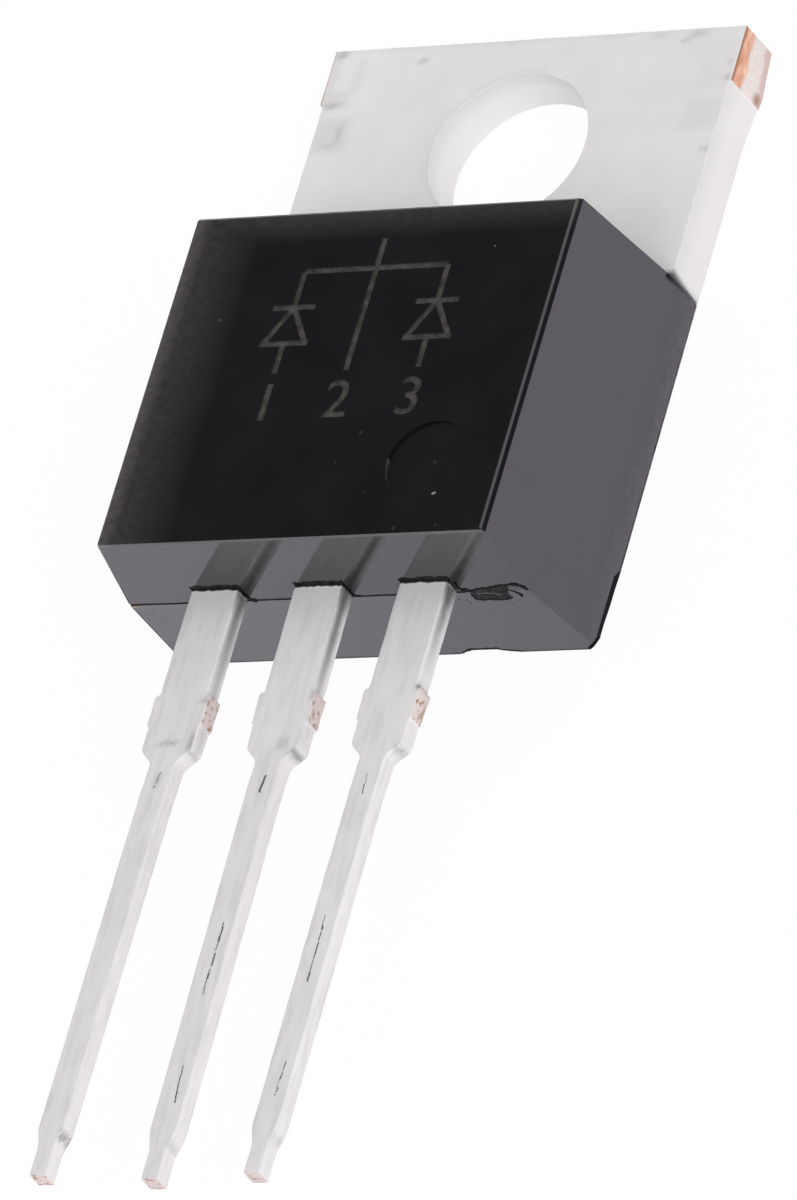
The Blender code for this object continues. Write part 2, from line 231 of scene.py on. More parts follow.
def white_table():
    """The floor. Seen directly it is nearly plain white, with a share of its true light and shade. Mirrored, it glows
    with painted shade and a painted lighter band.
    """
    shape = bmesh.new()
    bmesh.ops.create_grid(shape, x_segments=1, y_segments=1, size=600 * MM)
    bmesh.ops.translate(shape, verts=shape.verts, vec=Vector((0, 0, -0.005 * MM)))
    mesh = bpy.data.meshes.new("table")
    shape.to_mesh(mesh)
    shape.free()
    table = bpy.data.objects.new("table", mesh)
    bpy.context.scene.collection.objects.link(table)
    finish = bpy.data.materials.new("white table")
    finish.use_nodes = True
    tree = finish.node_tree
    tree.nodes.remove(tree.nodes["Principled BSDF"])
    paths = add(tree, "ShaderNodeLightPath")
    coordinates = add(tree, "ShaderNodeTexCoord").outputs["Object"]
    paper = add(tree, "ShaderNodeTexNoise", {"Vector": coordinates, "Scale": 2500, "Detail": 3})
    colour = blend(tree, paper.outputs[0], (0.90, 0.90, 0.90, 1), (0.94, 0.94, 0.94, 1))
    matt = add(tree, "ShaderNodeBsdfDiffuse", {"Color": colour}).outputs[0]
    glow = add(tree, "ShaderNodeEmission", {"Color": (1, 1, 1, 1), "Strength": 1.0}).outputs[0]
    share = product(tree, paths.outputs["Is Camera Ray"], 0.96)
    top = add(tree, "ShaderNodeMixShader", {0: share, 1: matt, 2: glow}).outputs[0]
    # Painted shade: mirrored in the moulding, the table's glow grows greyer towards the right, with a painted lighter
    # band near the moulding's right foot
    across = axes(tree, coordinates)["X"]
    shade = spread(tree, across, -8 * MM, 3 * MM)
    mirrored = blend(tree, shade, (0.97, 0.93, 1.0, 1), (0.64, 0.61, 0.69, 1))
    painted_light_near_foot = product(tree, spread(tree, across, 5.0 * MM, 5.1 * MM), spread(tree, across, 5.1 * MM, 5.7 * MM, 1, 0))
    mirrored = blend(tree, painted_light_near_foot, mirrored, (0.78, 0.74, 0.82, 1))
    mirrored = add(tree, "ShaderNodeEmission", {"Color": mirrored, "Strength": 1.0}).outputs[0]
    top = add(tree, "ShaderNodeMixShader", {0: paths.outputs["Is Glossy Ray"], 1: top, 2: mirrored}).outputs[0]
    # From below the table is clear, so that the bare metal back can be looked at
    clear = add(tree, "ShaderNodeBsdfTransparent").outputs[0]
    below = add(tree, "ShaderNodeNewGeometry").outputs["Backfacing"]
    both = add(tree, "ShaderNodeMixShader", {0: below, 1: top, 2: clear}).outputs[0]
    tree.links.new(both, tree.nodes["Material Output"].inputs["Surface"])
    mesh.materials.append(finish)


# Finishes


def new_finish(name, colour, roughness, metallic=0.0):
    """A material and its node tree, shader and object coordinates."""
    finish = bpy.data.materials.new(name)
    finish.use_nodes = True
    tree = finish.node_tree
    shader = tree.nodes["Principled BSDF"]
    shader.inputs["Base Color"].default_value = (*colour, 1)
    shader.inputs["Roughness"].default_value = roughness
    shader.inputs["Metallic"].default_value = metallic
    return finish, tree, shader, add(tree, "ShaderNodeTexCoord").outputs["Object"]


def mottle(tree, coordinates, size, detail=3.0, stretch=(1, 1, 1)):
    """Noise with features of a given size in metres, drawn out along any axis whose stretch is over 1."""
    scaled = add(tree, "ShaderNodeVectorMath", {0: coordinates, 1: [1 / (size * s) for s in stretch]},
                 operation="MULTIPLY").outputs[0]
    return add(tree, "ShaderNodeTexNoise", {"Vector": scaled, "Scale": 1.0, "Detail": detail}).outputs[0]


def relief(tree, shader, *layers):
    """Stacks bumps on a shader. Each layer is a height and its depth in metres."""
    normal = None
    for height, depth in layers:
        inputs = {"Height": height, "Distance": depth, "Strength": 1.0}
        if normal:
            inputs["Normal"] = normal
        normal = add(tree, "ShaderNodeBump", inputs).outputs[0]
    tree.links.new(normal, shader.inputs["Normal"])


def surface_value(tree, name):
    return add(tree, "ShaderNodeAttribute", attribute_name=name).outputs["Fac"]


def plane_through(places):
    """The first of three places in millimetres, and the normal of the plane through them."""
    first, second, third = (Vector(place) * MM for place in places)
    return first, (second - first).cross(third - first).normalized()


def worn_edges(tree, place):
    """Where the moulding's edges are dull: round its back, up its left corner and along the end that holds the tab."""
    across, along, up = axes(tree, place)
    wander = maths(tree, "SUBTRACT", mottle(tree, place, 0.25 * MM, 4), 0.5)
    slightly = product(tree, wander, 0.05 * MM)
    back = spread(tree, total(tree, up, product(tree, wander, 0.10 * MM)), 0.04 * MM, 0.085 * MM, 0.8, 0)
    first, way = plane_through(BROKEN_CORNER)
    from_break = add(tree, "ShaderNodeVectorMath", {0: place, 1: first}, operation="SUBTRACT").outputs[0]
    from_break = add(tree, "ShaderNodeVectorMath", {0: from_break, 1: way}, operation="DOT_PRODUCT").outputs["Value"]
    corner = spread(tree, total(tree, from_break, slightly), -0.10 * MM, -0.06 * MM)
    from_left = maths(tree, "SUBTRACT", total(tree, across, BODY_HIGH.x), product(tree, up, SIDE_INSET / PRINTED_Z))
    left = spread(tree, total(tree, from_left, slightly), 0.01 * MM, 0.04 * MM, 1, 0)
    lean = product(tree, maths(tree, "SUBTRACT", up, TAB_FRONT_Z), TAB_END_INSET / (PRINTED_Z - TAB_FRONT_Z))
    from_tab_end = total(tree, along, lean, slightly)
    tab_end = spread(tree, from_tab_end, -0.05 * MM, -0.02 * MM)
    # A nick below the tab's front face is darkest at its top
    nick = product(tree, spread(tree, from_tab_end, -0.20 * MM, -0.12 * MM),
                   spread(tree, up, 1.28 * MM, 1.33 * MM, 1, 0), spread(tree, up, 0.45 * MM, 1.15 * MM, 0.25, 1))
    return largest(tree, back, corner, left, tab_end, nick)


def smudged(tree, place):
    """Smeared patches on the lead end: below its left part, and at its lower right corner."""
    across, _, up = axes(tree, place)
    left = product(tree, spread(tree, across, -4.3 * MM, -3.0 * MM, 1, 0), spread(tree, up, 2.5 * MM, 2.68 * MM, 1, 0))
    corner = product(tree, spread(tree, across, 4.2 * MM, 4.7 * MM), spread(tree, up, 0.4 * MM, 1.0 * MM, 1, 0))
    smears = mottle(tree, place, 0.14 * MM, 3, (1.6, 1, 0.8))
    return product(tree, largest(tree, left, corner), spread(tree, smears, 0.35, 0.65))


def paler_along_left_and_tab_end(tree, place):
    """Where the printed face is thinly paler: along its left and at its tab end."""
    across, along, up = axes(tree, place)
    left = total(tree, spread(tree, across, -4.6 * MM, -4.3 * MM, 0.4, 0),
                 spread(tree, across, -4.6 * MM, -2.9 * MM, 0.4, 0))
    tab_end = spread(tree, along, -1.1 * MM, -0.3 * MM, 0, 0.4)
    patchy = spread(tree, mottle(tree, place, 0.16 * MM, 4), 0.3, 0.7, 0.6, 1)
    printed = spread(tree, up, PRINTED_Z - 0.1 * MM, PRINTED_Z - 0.02 * MM)
    return product(tree, largest(tree, left, tab_end), patchy, printed)


def border_gloss(tree, place):
    """Full gloss, but for the printed face's right border, which is glossiest along its middle."""
    across, _, up = axes(tree, place)
    hump = product(tree, spread(tree, across, BORDER_INNER_X - 0.01 * MM, BORDER_INNER_X + 0.03 * MM, 0.35, 0.75),
                   spread(tree, across, BORDER_MIDDLE_X - 0.025 * MM, BORDER_MIDDLE_X, 1, 0.5))
    elsewhere = largest(tree, spread(tree, across, BORDER_INNER_X - 0.03 * MM, BORDER_INNER_X - 0.01 * MM, 1, 0),
                        spread(tree, across, BORDER_MIDDLE_X + 0.005 * MM, BORDER_MIDDLE_X + 0.025 * MM),
                        spread(tree, up, PRINTED_Z - 0.07 * MM, PRINTED_Z - 0.04 * MM, 1, 0))
    return maths(tree, "MINIMUM", total(tree, hump, elsewhere), 1)


def black_epoxy():
    """Glossy filled moulding compound: fine grain, faint flow clouds, tool marks near the back, a few pale specks."""
    finish, tree, shader, place = new_finish("black epoxy", (0.006, 0.006, 0.007), 0.12)
    shader.inputs["IOR"].default_value = 1.7
    shader.inputs["Specular IOR Level"].default_value = 1.0
    clouds = mottle(tree, place, 1.4 * MM, 4)
    grain = mottle(tree, place, 0.05 * MM, 2)
    near_back = spread(tree, axes(tree, place)["Z"], 1.2 * MM, 2.75 * MM, 1, 0)
    tooling = product(tree, mottle(tree, place, 0.12 * MM, 3, (1, 1, 6)), near_back)
    # One cell in thirty or so holds a speck
    cells = add(tree, "ShaderNodeTexVoronoi", {"Vector": place, "Scale": 1 / (0.5 * MM)})
    lot = add(tree, "ShaderNodeSeparateColor", {0: cells.outputs["Color"]}).outputs[0]
    speck = product(tree, maths(tree, "GREATER_THAN", lot, 0.97),
                    spread(tree, cells.outputs["Distance"], 0.05, 0.11, 0.5, 0))
    colour = blend(tree, spread(tree, clouds, 0.35, 0.65), (0.0058, 0.0057, 0.0064, 1), (0.0088, 0.0085, 0.0095, 1))
    colour = blend(tree, speck, colour, (0.06, 0.058, 0.055, 1))
    colour = blend(tree, paler_along_left_and_tab_end(tree, place), colour, (0.125, 0.111, 0.114, 1))
    tree.links.new(colour, shader.inputs["Base Color"])
    rough = total(tree, spread(tree, clouds, 0.35, 0.7, 0.045, 0.08), product(tree, near_back, 0.06))
    tree.links.new(rough, shader.inputs["Roughness"])
    # Worn edges and smears take the gloss away
    gloss = maths(tree, "SUBTRACT", border_gloss(tree, place), product(tree, worn_edges(tree, place), 0.95))
    gloss = maths(tree, "SUBTRACT", gloss, product(tree, smudged(tree, place), 0.22))
    tree.links.new(gloss, shader.inputs["Specular IOR Level"])
    relief(tree, shader, (clouds, 0.006 * MM), (tooling, 0.006 * MM), (grain, 0.0004 * MM))
    return finish


def dull_epoxy(name, dark, pale, size):
    """Dull epoxy in two mottled tones: for torn flash, the parting line, crumbs, a copper fleck and dull black, and for
    painted shade and painted highlights on the moulding.
    """
    finish, tree, shader, place = new_finish(name, dark, 0.8)
    shader.inputs["Specular IOR Level"].default_value = 0.25
    tone = mottle(tree, place, size, 4)
    tree.links.new(blend(tree, spread(tree, tone, 0.35, 0.7), (*dark, 1), (*pale, 1)), shader.inputs["Base Color"])
    relief(tree, shader, (tone, size / 12))
    return finish


def laser_mark():
    """The pale, slightly brown floor that a marking laser leaves, uneven along each stroke."""
    finish, tree, shader, place = new_finish("laser mark", (0.1, 0.09, 0.08), 0.7)
    patches = mottle(tree, place, 0.22 * MM, 4)
    fine = mottle(tree, place, 0.03 * MM, 2)
    share = spread(tree, total(tree, patches, product(tree, fine, 0.5)), 0.5, 0.95)
    tree.links.new(blend(tree, share, (0.018, 0.0165, 0.016, 1), (0.075, 0.068, 0.062, 1)), shader.inputs["Base Color"])
    relief(tree, shader, (fine, 0.003 * MM))
    return finish


# A dark spot on the right tie bar's cut
TIE_BAR_SPOT = (5.12 * MM, 5.04 * MM, 0.18 * MM)


def tie_bar_cut(tree, place, through, smears, grain):
    """A tie bar's cut: orange along the front edge, smeared with tin in the middle and browner at the back."""
    uneven = total(tree, through, product(tree, maths(tree, "SUBTRACT", smears, 0.5), 0.3))
    orange = blend(tree, spread(tree, smears, 0.35, 0.65), (0.74, 0.33, 0.20, 1), (0.95, 0.62, 0.46, 1))
    orange = blend(tree, spread(tree, through, 0.90, 0.97), orange, (0.42, 0.19, 0.11, 1))
    smeared = blend(tree, spread(tree, grain, 0.4, 0.65), (0.91, 0.86, 0.83, 1), (0.84, 0.70, 0.66, 1))
    colour = blend(tree, spread(tree, uneven, 0.61, 0.69), smeared, orange)
    colour = blend(tree, spread(tree, uneven, 0.14, 0.24), (0.76, 0.58, 0.54, 1), colour)
    from_spot = add(tree, "ShaderNodeVectorMath", {0: place, 1: TIE_BAR_SPOT}, operation="DISTANCE").outputs["Value"]
    return blend(tree, spread(tree, from_spot, 0.06 * MM, 0.20 * MM, 0.8, 0), colour, (0.40, 0.24, 0.17, 1))


def burnt_copper(tree, place):
    """The dambars' and the tips' cuts: pink with brown patches."""
    stains = mottle(tree, place, 0.13 * MM, 4)
    return blend(tree, spread(tree, stains, 0.52, 0.66), (0.80, 0.69, 0.66, 1), (0.40, 0.22, 0.16, 1))


def matt_tin():
    """Matt tin over copper, with the copper bare where bars were cut off, and darker where the metal is torn. Its
    colour also holds painted light and painted shade, read from the pieces' values.
    """
    finish, tree, shader, place = new_finish("matt tin", (0.85, 0.83, 0.835), 0.5, 0.2)
    along = axes(tree, place)["Y"]
    through = surface_value(tree, "through")
    clouds = mottle(tree, place, 0.9 * MM, 4)
    grain = mottle(tree, place, 0.045 * MM, 3)
    drawn = mottle(tree, place, 0.06 * MM, 3, (1, 14, 1))
    smears = mottle(tree, place, 0.16 * MM, 4, (1, 2.5, 1))
    tin = blend(tree, spread(tree, clouds, 0.3, 0.7), (0.88, 0.855, 0.86, 1), (0.91, 0.885, 0.89, 1))
    # Soft streaks run down the leads
    streaks = product(tree, spread(tree, mottle(tree, place, 0.14 * MM, 3, (1, 7, 1)), 0.45, 0.70, 0, 0.35),
                      spread(tree, along, LEAD_END_Y - 0.5 * MM, LEAD_END_Y, 1, 0))
    tin = blend(tree, streaks, tin, (0.62, 0.60, 0.60, 1))
    tin = blend(tree, spread(tree, grain, 0.55, 0.8, 0, 0.15), tin, (0.66, 0.64, 0.64, 1))
    # Painted light: the bore's wall, the tab's left and thin lines along the leads' edges are paler
    tin = blend(tree, surface_value(tree, "pale"), tin, (0.97, 0.955, 0.955, 1))
    # Painted shade: the tab's sides and its bore grow darker towards the rolled front edge
    painted_edge_shade = product(tree, spread(tree, through, 0.55, 0.97), spread(tree, through, 0.97, 0.995, 1, 0),
                     spread(tree, along, -0.1 * MM, 0, 0, 0.14))
    tin = blend(tree, total(tree, surface_value(tree, "dulled_and_shaded"), painted_edge_shade), tin, (0.30, 0.29, 0.285, 1))
    # The torn band of a stamped side: its place across the thickness changes from lead to lead
    off_middle = maths(tree, "ABSOLUTE", maths(tree, "SUBTRACT", through, surface_value(tree, "torn_middle")))
    torn = product(tree, surface_value(tree, "torn"), spread(tree, off_middle, 0.10, 0.42, 1, 0),
                   spread(tree, smears, 0.2, 0.5, 0.5, 1))
    tin = blend(tree, torn, tin, (0.10, 0.092, 0.084, 1))
    soiled = product(tree, surface_value(tree, "soil"), spread(tree, total(tree, grain, smears), 0.65, 1.05))
    tin = blend(tree, soiled, tin, (0.2, 0.195, 0.19, 1))
    colour = blend(tree, surface_value(tree, "bar_cut"), tin, tie_bar_cut(tree, place, through, smears, grain))
    colour = blend(tree, surface_value(tree, "burnt_cut"), colour, burnt_copper(tree, place))
    # Painted shade: a dark band lies on the leads right where they leave the moulding
    leaving = total(tree, along, product(tree, maths(tree, "SUBTRACT", smears, 0.5), 0.10 * MM))
    painted_root_shade = product(tree, spread(tree, leaving, LEAD_END_Y - 0.015 * MM, LEAD_END_Y + 0.02 * MM),
                    spread(tree, along, LEAD_END_Y + 0.3 * MM, LEAD_END_Y + 0.5 * MM, 1, 0))
    colour = blend(tree, painted_root_shade, colour, (0.02, 0.018, 0.015, 1))
    tree.links.new(colour, shader.inputs["Base Color"])
    rough = spread(tree, total(tree, clouds, grain), 0.7, 1.3, 0.42, 0.6)
    tree.links.new(rough, shader.inputs["Roughness"])
    relief(tree, shader, (clouds, 0.005 * MM), (drawn, 0.0012 * MM), (grain, 0.0012 * MM))
    return finish


def scratch_shadow():
    finish, tree, shader, place = new_finish("open scratch", (0.12, 0.115, 0.115), 0.6, 0.3)
    depth = mottle(tree, place, 0.1 * MM, 3)
    tree.links.new(blend(tree, depth, (0.06, 0.058, 0.058, 1), (0.24, 0.23, 0.23, 1)), shader.inputs["Base Color"])
    relief(tree, shader, (depth, 0.002 * MM))
    return finish


def sealed_finish(name, dark, pale, roughness, metallic, size):
    """A finish for a piece inside the moulding: two tones of its colour, and roughness and bump to match."""
    finish, tree, shader, place = new_finish(name, pale, roughness, metallic)
    tone = mottle(tree, place, size, 4)
    tree.links.new(blend(tree, tone, (*dark, 1), (*pale, 1)), shader.inputs["Base Color"])
    tree.links.new(spread(tree, tone, 0.3, 0.7, roughness * 0.8, roughness * 1.3), shader.inputs["Roughness"])
    relief(tree, shader, (tone, size / 60))
    return finish


# Shapes


def object_from(shape, name, finishes):
    """Puts a bmesh in the scene as a mesh object with its finishes. Its large faces keep their shading flat."""
    mesh = bpy.data.meshes.new(name)
    shape.to_mesh(mesh)
    shape.free()
    mesh.shade_smooth()
    mesh.set_sharp_from_angle(angle=SHARP_FROM)
    for finish in finishes:
        mesh.materials.append(finish)
    made = bpy.data.objects.new(name, mesh)
    bpy.context.scene.collection.objects.link(made)
    if finishes:
        flatten = made.modifiers.new("flat faces", "WEIGHTED_NORMAL")
        flatten.keep_sharp = True
        flatten.weight = 80
        made.data = evaluated_mesh(made)
        made.modifiers.remove(flatten)
    return made


def evaluated_mesh(thing):
    graph = bpy.context.evaluated_depsgraph_get()
    return bpy.data.meshes.new_from_object(thing.evaluated_get(graph), depsgraph=graph)


def discard(thing):
    bpy.data.objects.remove(thing)


def welded_copy(node):
    """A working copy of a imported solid: its loose triangles welded and its flat faces made whole."""
    shape = bmesh.new()
    shape.from_mesh(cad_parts[node].data)
    for loop_layer in list(shape.loops.layers.uv.values()):
        shape.loops.layers.uv.remove(loop_layer)
    bmesh.ops.remove_doubles(shape, verts=shape.verts, dist=WELD)
    bmesh.ops.dissolve_limit(shape, angle_limit=math.radians(0.8), verts=shape.verts, edges=shape.edges)
    return shape


def roll_edges(shape):
    """Rounds the edges of a stamped piece."""
    edges = [e for e in shape.edges if len(e.link_faces) == 2 and e.calc_face_angle() > ROLLED_FROM]
    bmesh.ops.bevel(shape, geom=edges, offset=METAL_EDGE, offset_type="OFFSET", segments=3, profile=0.5,
                    affect="EDGES", clamp_overlap=True)


def cut_across(shape, axis, step, low, high):
    """Cuts every face at even steps along one axis, so that there are points to move."""
    count = round((high - low) / step)
    normal = Vector([float(i == axis) for i in range(3)])
    for i in range(1, count):
        place = normal * (low + (high - low) * i / count)
        everything = shape.verts[:] + shape.edges[:] + shape.faces[:]
        bmesh.ops.bisect_plane(shape, geom=everything, dist=WELD, plane_co=place, plane_no=normal)


def wobble(place, size, seed):
    """Smooth noise from -1 to 1 with features of a given size."""
    return noise.noise(place / size + Vector((seed, seed * 0.37, 0)))


def falls_off(distance):
    """1 in the middle of a dent and 0 from its rim outwards."""
    return max(0.0, 1 - distance * distance) ** 2


# Metal pieces

# Dull, squarish patches on the tab's front: middle, half size, depth and how dull
TAB_PATCHES = [
    (-4.36, 5.60, 0.13, 0.42, 0.003, 0.08),
    (-4.80, 4.99, 0.33, 0.21, 0.003, 0.15),
    (-4.60, 4.08, 0.35, 0.36, 0.004, 0.17),
    (4.58, 4.08, 0.44, 0.34, 0.003, 0.10),
    (4.70, 5.30, 0.45, 0.55, 0.002, 0.05),
]
# Small dents and spots on it: middle, half size, depth and how grey
TAB_SPOTS = [
    (-4.82, 5.50, 0.22, 0.30, 0.012, 0.00),
    (-4.80, 4.85, 0.30, 0.05, 0.004, 0.45),
    (-4.40, 4.10, 0.08, 0.34, 0.003, 0.30),
    (-4.60, 3.78, 0.30, 0.05, 0.003, 0.30),
    (4.89, 3.17, 0.14, 0.12, 0.008, 0.45),
    (-2.80, 5.86, 0.18, 0.09, 0.008, 0.50),
    (3.68, 6.03, 0.20, 0.09, 0.006, 0.35),
    (4.89, 5.41, 0.09, 0.18, 0.010, 0.60),
    (4.92, 5.00, 0.14, 0.12, 0.010, 0.45),
    (-4.90, 6.20, 0.24, 0.12, 0.006, 0.70),
    (3.95, 6.20, 0.50, 0.09, 0.003, 0.60),
    (2.95, 6.20, 0.35, 0.08, 0.003, 0.45),
]

# The torn band along each lead's sides: its middle as a share of the thickness, and how dark it is at these
# places down the lead, in millimetres
TORN_DOWN = (0.3, 0.8, 1.5, 2.2, 3.6, 4.2)
TORN_BANDS = {
    -1: (0.52, (0.70, 0.64, 0.44, 0.29, 0.18, 0.0)),
    0: (0.57, (0.77, 0.72, 0.62, 0.39, 0.05, 0.0)),
    1: (0.62, (0.87, 0.66, 0.30, 0.08, 0.06, 0.0)),
}
# How far each lead leans to the left at 5 and at 12 mm down it, in millimetres
LEAN = {-1: (0.035, 0.050), 0: (0.028, 0.0), 1: (0.030, 0.015)}

# Grey marks on the leads: lead (-1, 0 or 1), place down it, place across it, half sizes, how grey
LEAD_MARKS = [
    (-1, 3.68, 0.00, 0.10, 0.28, 0.7),
    (-1, 4.60, -0.02, 0.28, 0.08, 0.6),
    (-1, 3.70, 0.56, 0.40, 0.05, 0.6),
    (-1, 13.12, 0.28, 0.28, 0.06, 0.9),
    (-1, 2.66, 0.60, 0.12, 0.07, 1.0),
    (0, 3.76, 0.20, 0.16, 0.13, 0.5),
    (0, 3.95, 0.52, 0.12, 0.07, 0.7),
    (0, 13.25, 0.26, 0.20, 0.06, 0.6),
    (0, 2.62, 0.60, 0.12, 0.07, 1.0),
    (1, 3.95, 0.52, 0.14, 0.08, 0.5),
    (1, 13.20, 0.26, 0.26, 0.06, 0.3),
    (1, 2.52, 0.60, 0.12, 0.07, 1.0),
    (1, 12.36, -0.02, 0.05, 0.22, 0.4),
]


def lead_front_slope(node):
    """How far a lead's front drops for each metre down from the moulding."""
    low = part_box(node)[0].y
    tip_front = heights(node, lambda point: point.y < low + 0.01 * MM)[1]
    return (LEAD_FRONT_Z - tip_front) / (LEAD_END_Y - low)


def lead_number(place):
    return max(-1, min(1, round(place.x / LEAD_PITCH)))


def read_along(places, values, place):
    """The value at a place, read between the nearest two of a row and held beyond its ends."""
    for i in range(1, len(places)):
        if place < places[i]:
            share = max(0.0, (place - places[i - 1]) / (places[i] - places[i - 1]))
            return values[i - 1] + (values[i] - values[i - 1]) * share
    return values[-1]


def metal_piece(node, name, finish):
    """A stamped and plated piece: rolled edges, rippled sides, dents, and values that its finish reads."""
    shape = welded_copy(node)
    roll_edges(shape)
    low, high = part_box(node)
    cut_across(shape, 1, METAL_STEP, low.y, high.y)
    cut_across(shape, 0, METAL_STEP, low.x, high.x)
    shape.normal_update()
    slope = lead_front_slope(node)
    names = ("soil", "pale", "dulled_and_shaded", "torn", "torn_middle")
    values = {key: shape.verts.layers.float.new(key) for key in names}
    through = shape.verts.layers.float.new("through")
    bar_cut = shape.faces.layers.float.new("bar_cut")
    burnt_cut = shape.faces.layers.float.new("burnt_cut")
    for face in shape.faces:
        middle = face.calc_center_median()
        down = LEAD_END_Y - middle.y
        across = abs(middle.x - lead_number(middle) * LEAD_PITCH)
        on_bar = middle.y > TAB_TOP_Y - TIE_BAR_WIDTH and abs(middle.x) > BODY_HIGH.x - 0.01 * MM
        on_dambar = DAMBAR_START < down < DAMBAR_END and across > LEAD_HALF_WIDTH + 0.06 * MM
        on_tip = face.normal.y < -0.5 and down > HEEL_END
        face[bar_cut] = float(on_bar and abs(face.normal.x) > 0.5)
        face[burnt_cut] = float(on_tip or (on_dambar and abs(face.normal.x) > 0.5))
    for vertex in shape.verts:
        place = vertex.co.copy()
        normal = vertex.normal.copy()
        down = LEAD_END_Y - place.y
        if place.y > -0.05 * MM:
            vertex[through] = place.z / TAB_FRONT_Z
            press_tab(vertex, place, normal, values)
        elif down > 0:
            front = LEAD_FRONT_Z - slope * down
            vertex[through] = 1 - (front - place.z) / LEAD_THICKNESS
            press_lead(vertex, place, normal, down, front, values)
    return object_from(shape, name, [finish])


def press_tab(vertex, place, normal, values):
    """Moves one point of the tab for its dents and its uneven sheared edges."""
    vertex.co.z += 0.003 * MM * wobble(place, 1.5 * MM, 3) * normal.z
    vertex.co.y += 0.012 * MM * wobble(place, 0.5 * MM, 5) * max(0.0, normal.y)
    vertex.co.x += 0.006 * MM * wobble(place, 0.6 * MM, 7) * normal.x
    # The cut tie bars stand out, the right one most at the back, where it also drew the top edge up
    back = 1 - place.z / TAB_FRONT_Z
    if place.x < -BODY_HIGH.x + 0.1 * MM and place.y > TAB_TOP_Y - TIE_BAR_WIDTH:
        vertex.co.x += 0.035 * MM * min(0.0, normal.x)
    elif place.x > BODY_HIGH.x - 0.1 * MM:
        vertex.co.x += read_along((3.9, 4.9, 5.2, 6.28), (0, 0.08, 0.10, 0), place.y / MM) * MM * back
        vertex.co.y += 0.08 * MM * back * max(0.0, normal.y)
    from_hole = math.hypot(place.x, place.y - HOLE_Y) - HOLE_RADIUS
    # Painted light: the bore's wall is pale all round
    if from_hole < 0.03 * MM and normal.z < 0.7:
        vertex[values["pale"]] = 1
    elif normal.z > 0.7:
        # Painted light: the front is paler towards the left
        vertex[values["pale"]] = read_along((-4.5, -1.0), (0.35, 0.0), place.x / MM)
        # Painted shade: the front darkens beside the left of the hole's rim. It is also a little darker along the top
        # edge and beside the left tie bar
        near_rim = 0.07 * max(0.0, 1 - from_hole / (0.2 * MM)) * float(place.x < 0.5 * MM)
        near_top = 0.06 * float(place.y > TAB_TOP_Y - 0.1 * MM)
        near_bar = 0.12 * float(place.x < -BODY_HIGH.x + 0.12 * MM and place.y > TAB_TOP_Y - TIE_BAR_WIDTH)
        vertex[values["dulled_and_shaded"]] = max(near_rim, near_top, near_bar)
    if place.y < 0.06 * MM and abs(place.x) > BODY_HIGH.x - 0.15 * MM:
        # Painted shade: the tab's shoulders beside the moulding are darker, most of all at the front
        vertex[values["dulled_and_shaded"]] = 0.25 + 0.7 * max(0.0, place.z / TAB_FRONT_Z)
    if normal.z < 0.3:
        return
    for x, y, half_x, half_y, depth, dull in TAB_PATCHES:
        distance = max(abs(place.x / MM - x) / half_x, abs(place.y / MM - y) / half_y)
        share = max(0.0, min(1.0, 2.8 - 2 * distance))
        vertex.co.z -= depth * MM * share
        vertex[values["dulled_and_shaded"]] = max(vertex[values["dulled_and_shaded"]], dull * share)
    for x, y, half_x, half_y, depth, grey in TAB_SPOTS:
        share = falls_off(math.hypot((place.x / MM - x) / half_x, (place.y / MM - y) / half_y))
        vertex.co.z -= depth * MM * share
        vertex[values["soil"]] = max(vertex[values["soil"]], grey * share)


def press_lead(vertex, place, normal, down, front, values):
    """Moves one point of a lead for its rippled sides, its burr and its lean, and marks where it is grey."""
    number = lead_number(place)
    across = place.x - number * LEAD_PITCH
    seed = 11 + 4 * number + (2 if across > 0 else 0)
    # The sides are roughest where the dambars were cut away
    rough = 0.010 + 0.014 * falls_off((down / MM - 3.2) / 1.3)
    vertex.co.x += rough * MM * wobble(place, 0.32 * MM, seed) * normal.x
    # A burr stands out along the back edges of the wide part
    back = min(1.0, (front - place.z) / LEAD_THICKNESS)
    vertex.co.x += read_along((2.4, 3.2), (0.045, 0), down / MM) * MM * back * normal.x
    vertex.co.x -= read_along((4.0, 5.0, 12.0), (0, *LEAN[number]), down / MM) * MM
    vertex.co.z += 0.004 * MM * wobble(place, 0.9 * MM, seed + 1) * normal.z
    for lead, mark_down, mark_across, half_down, half_across, grey in LEAD_MARKS:
        if lead == number:
            distance = math.hypot((down / MM - mark_down) / half_down, (across / MM - mark_across) / half_across)
            vertex[values["soil"]] = max(vertex[values["soil"]], grey * falls_off(distance * 0.8))
    # The leads' plating is a little duller than the tab's, with painted shade that darkens it towards the moulding. A
    # side has painted shade right beside the moulding and a painted highlight along its back edge
    vertex[values["dulled_and_shaded"]] = 0.13 + 0.19 * max(0.0, 1 - down / (2.6 * MM))
    if abs(normal.x) > 0.5:
        vertex[values["dulled_and_shaded"]] = max(0.0, 1 - down / (0.6 * MM))
        vertex[values["pale"]] = read_along((0.5, 1.2, 2.4, 3.0), (0, 0.6, 0.6, 0), down / MM) * max(0.0, 2 * back - 1)
        middle, darkness = TORN_BANDS[number]
        vertex[values["torn"]] = read_along(TORN_DOWN, darkness, down / MM)
        vertex[values["torn_middle"]] = middle
    elif normal.x < -0.3:
        # A painted highlight runs along the left rolled edge near the moulding
        vertex[values["pale"]] = read_along((2.2, 2.6), (0.8, 0), down / MM)


# Moulding


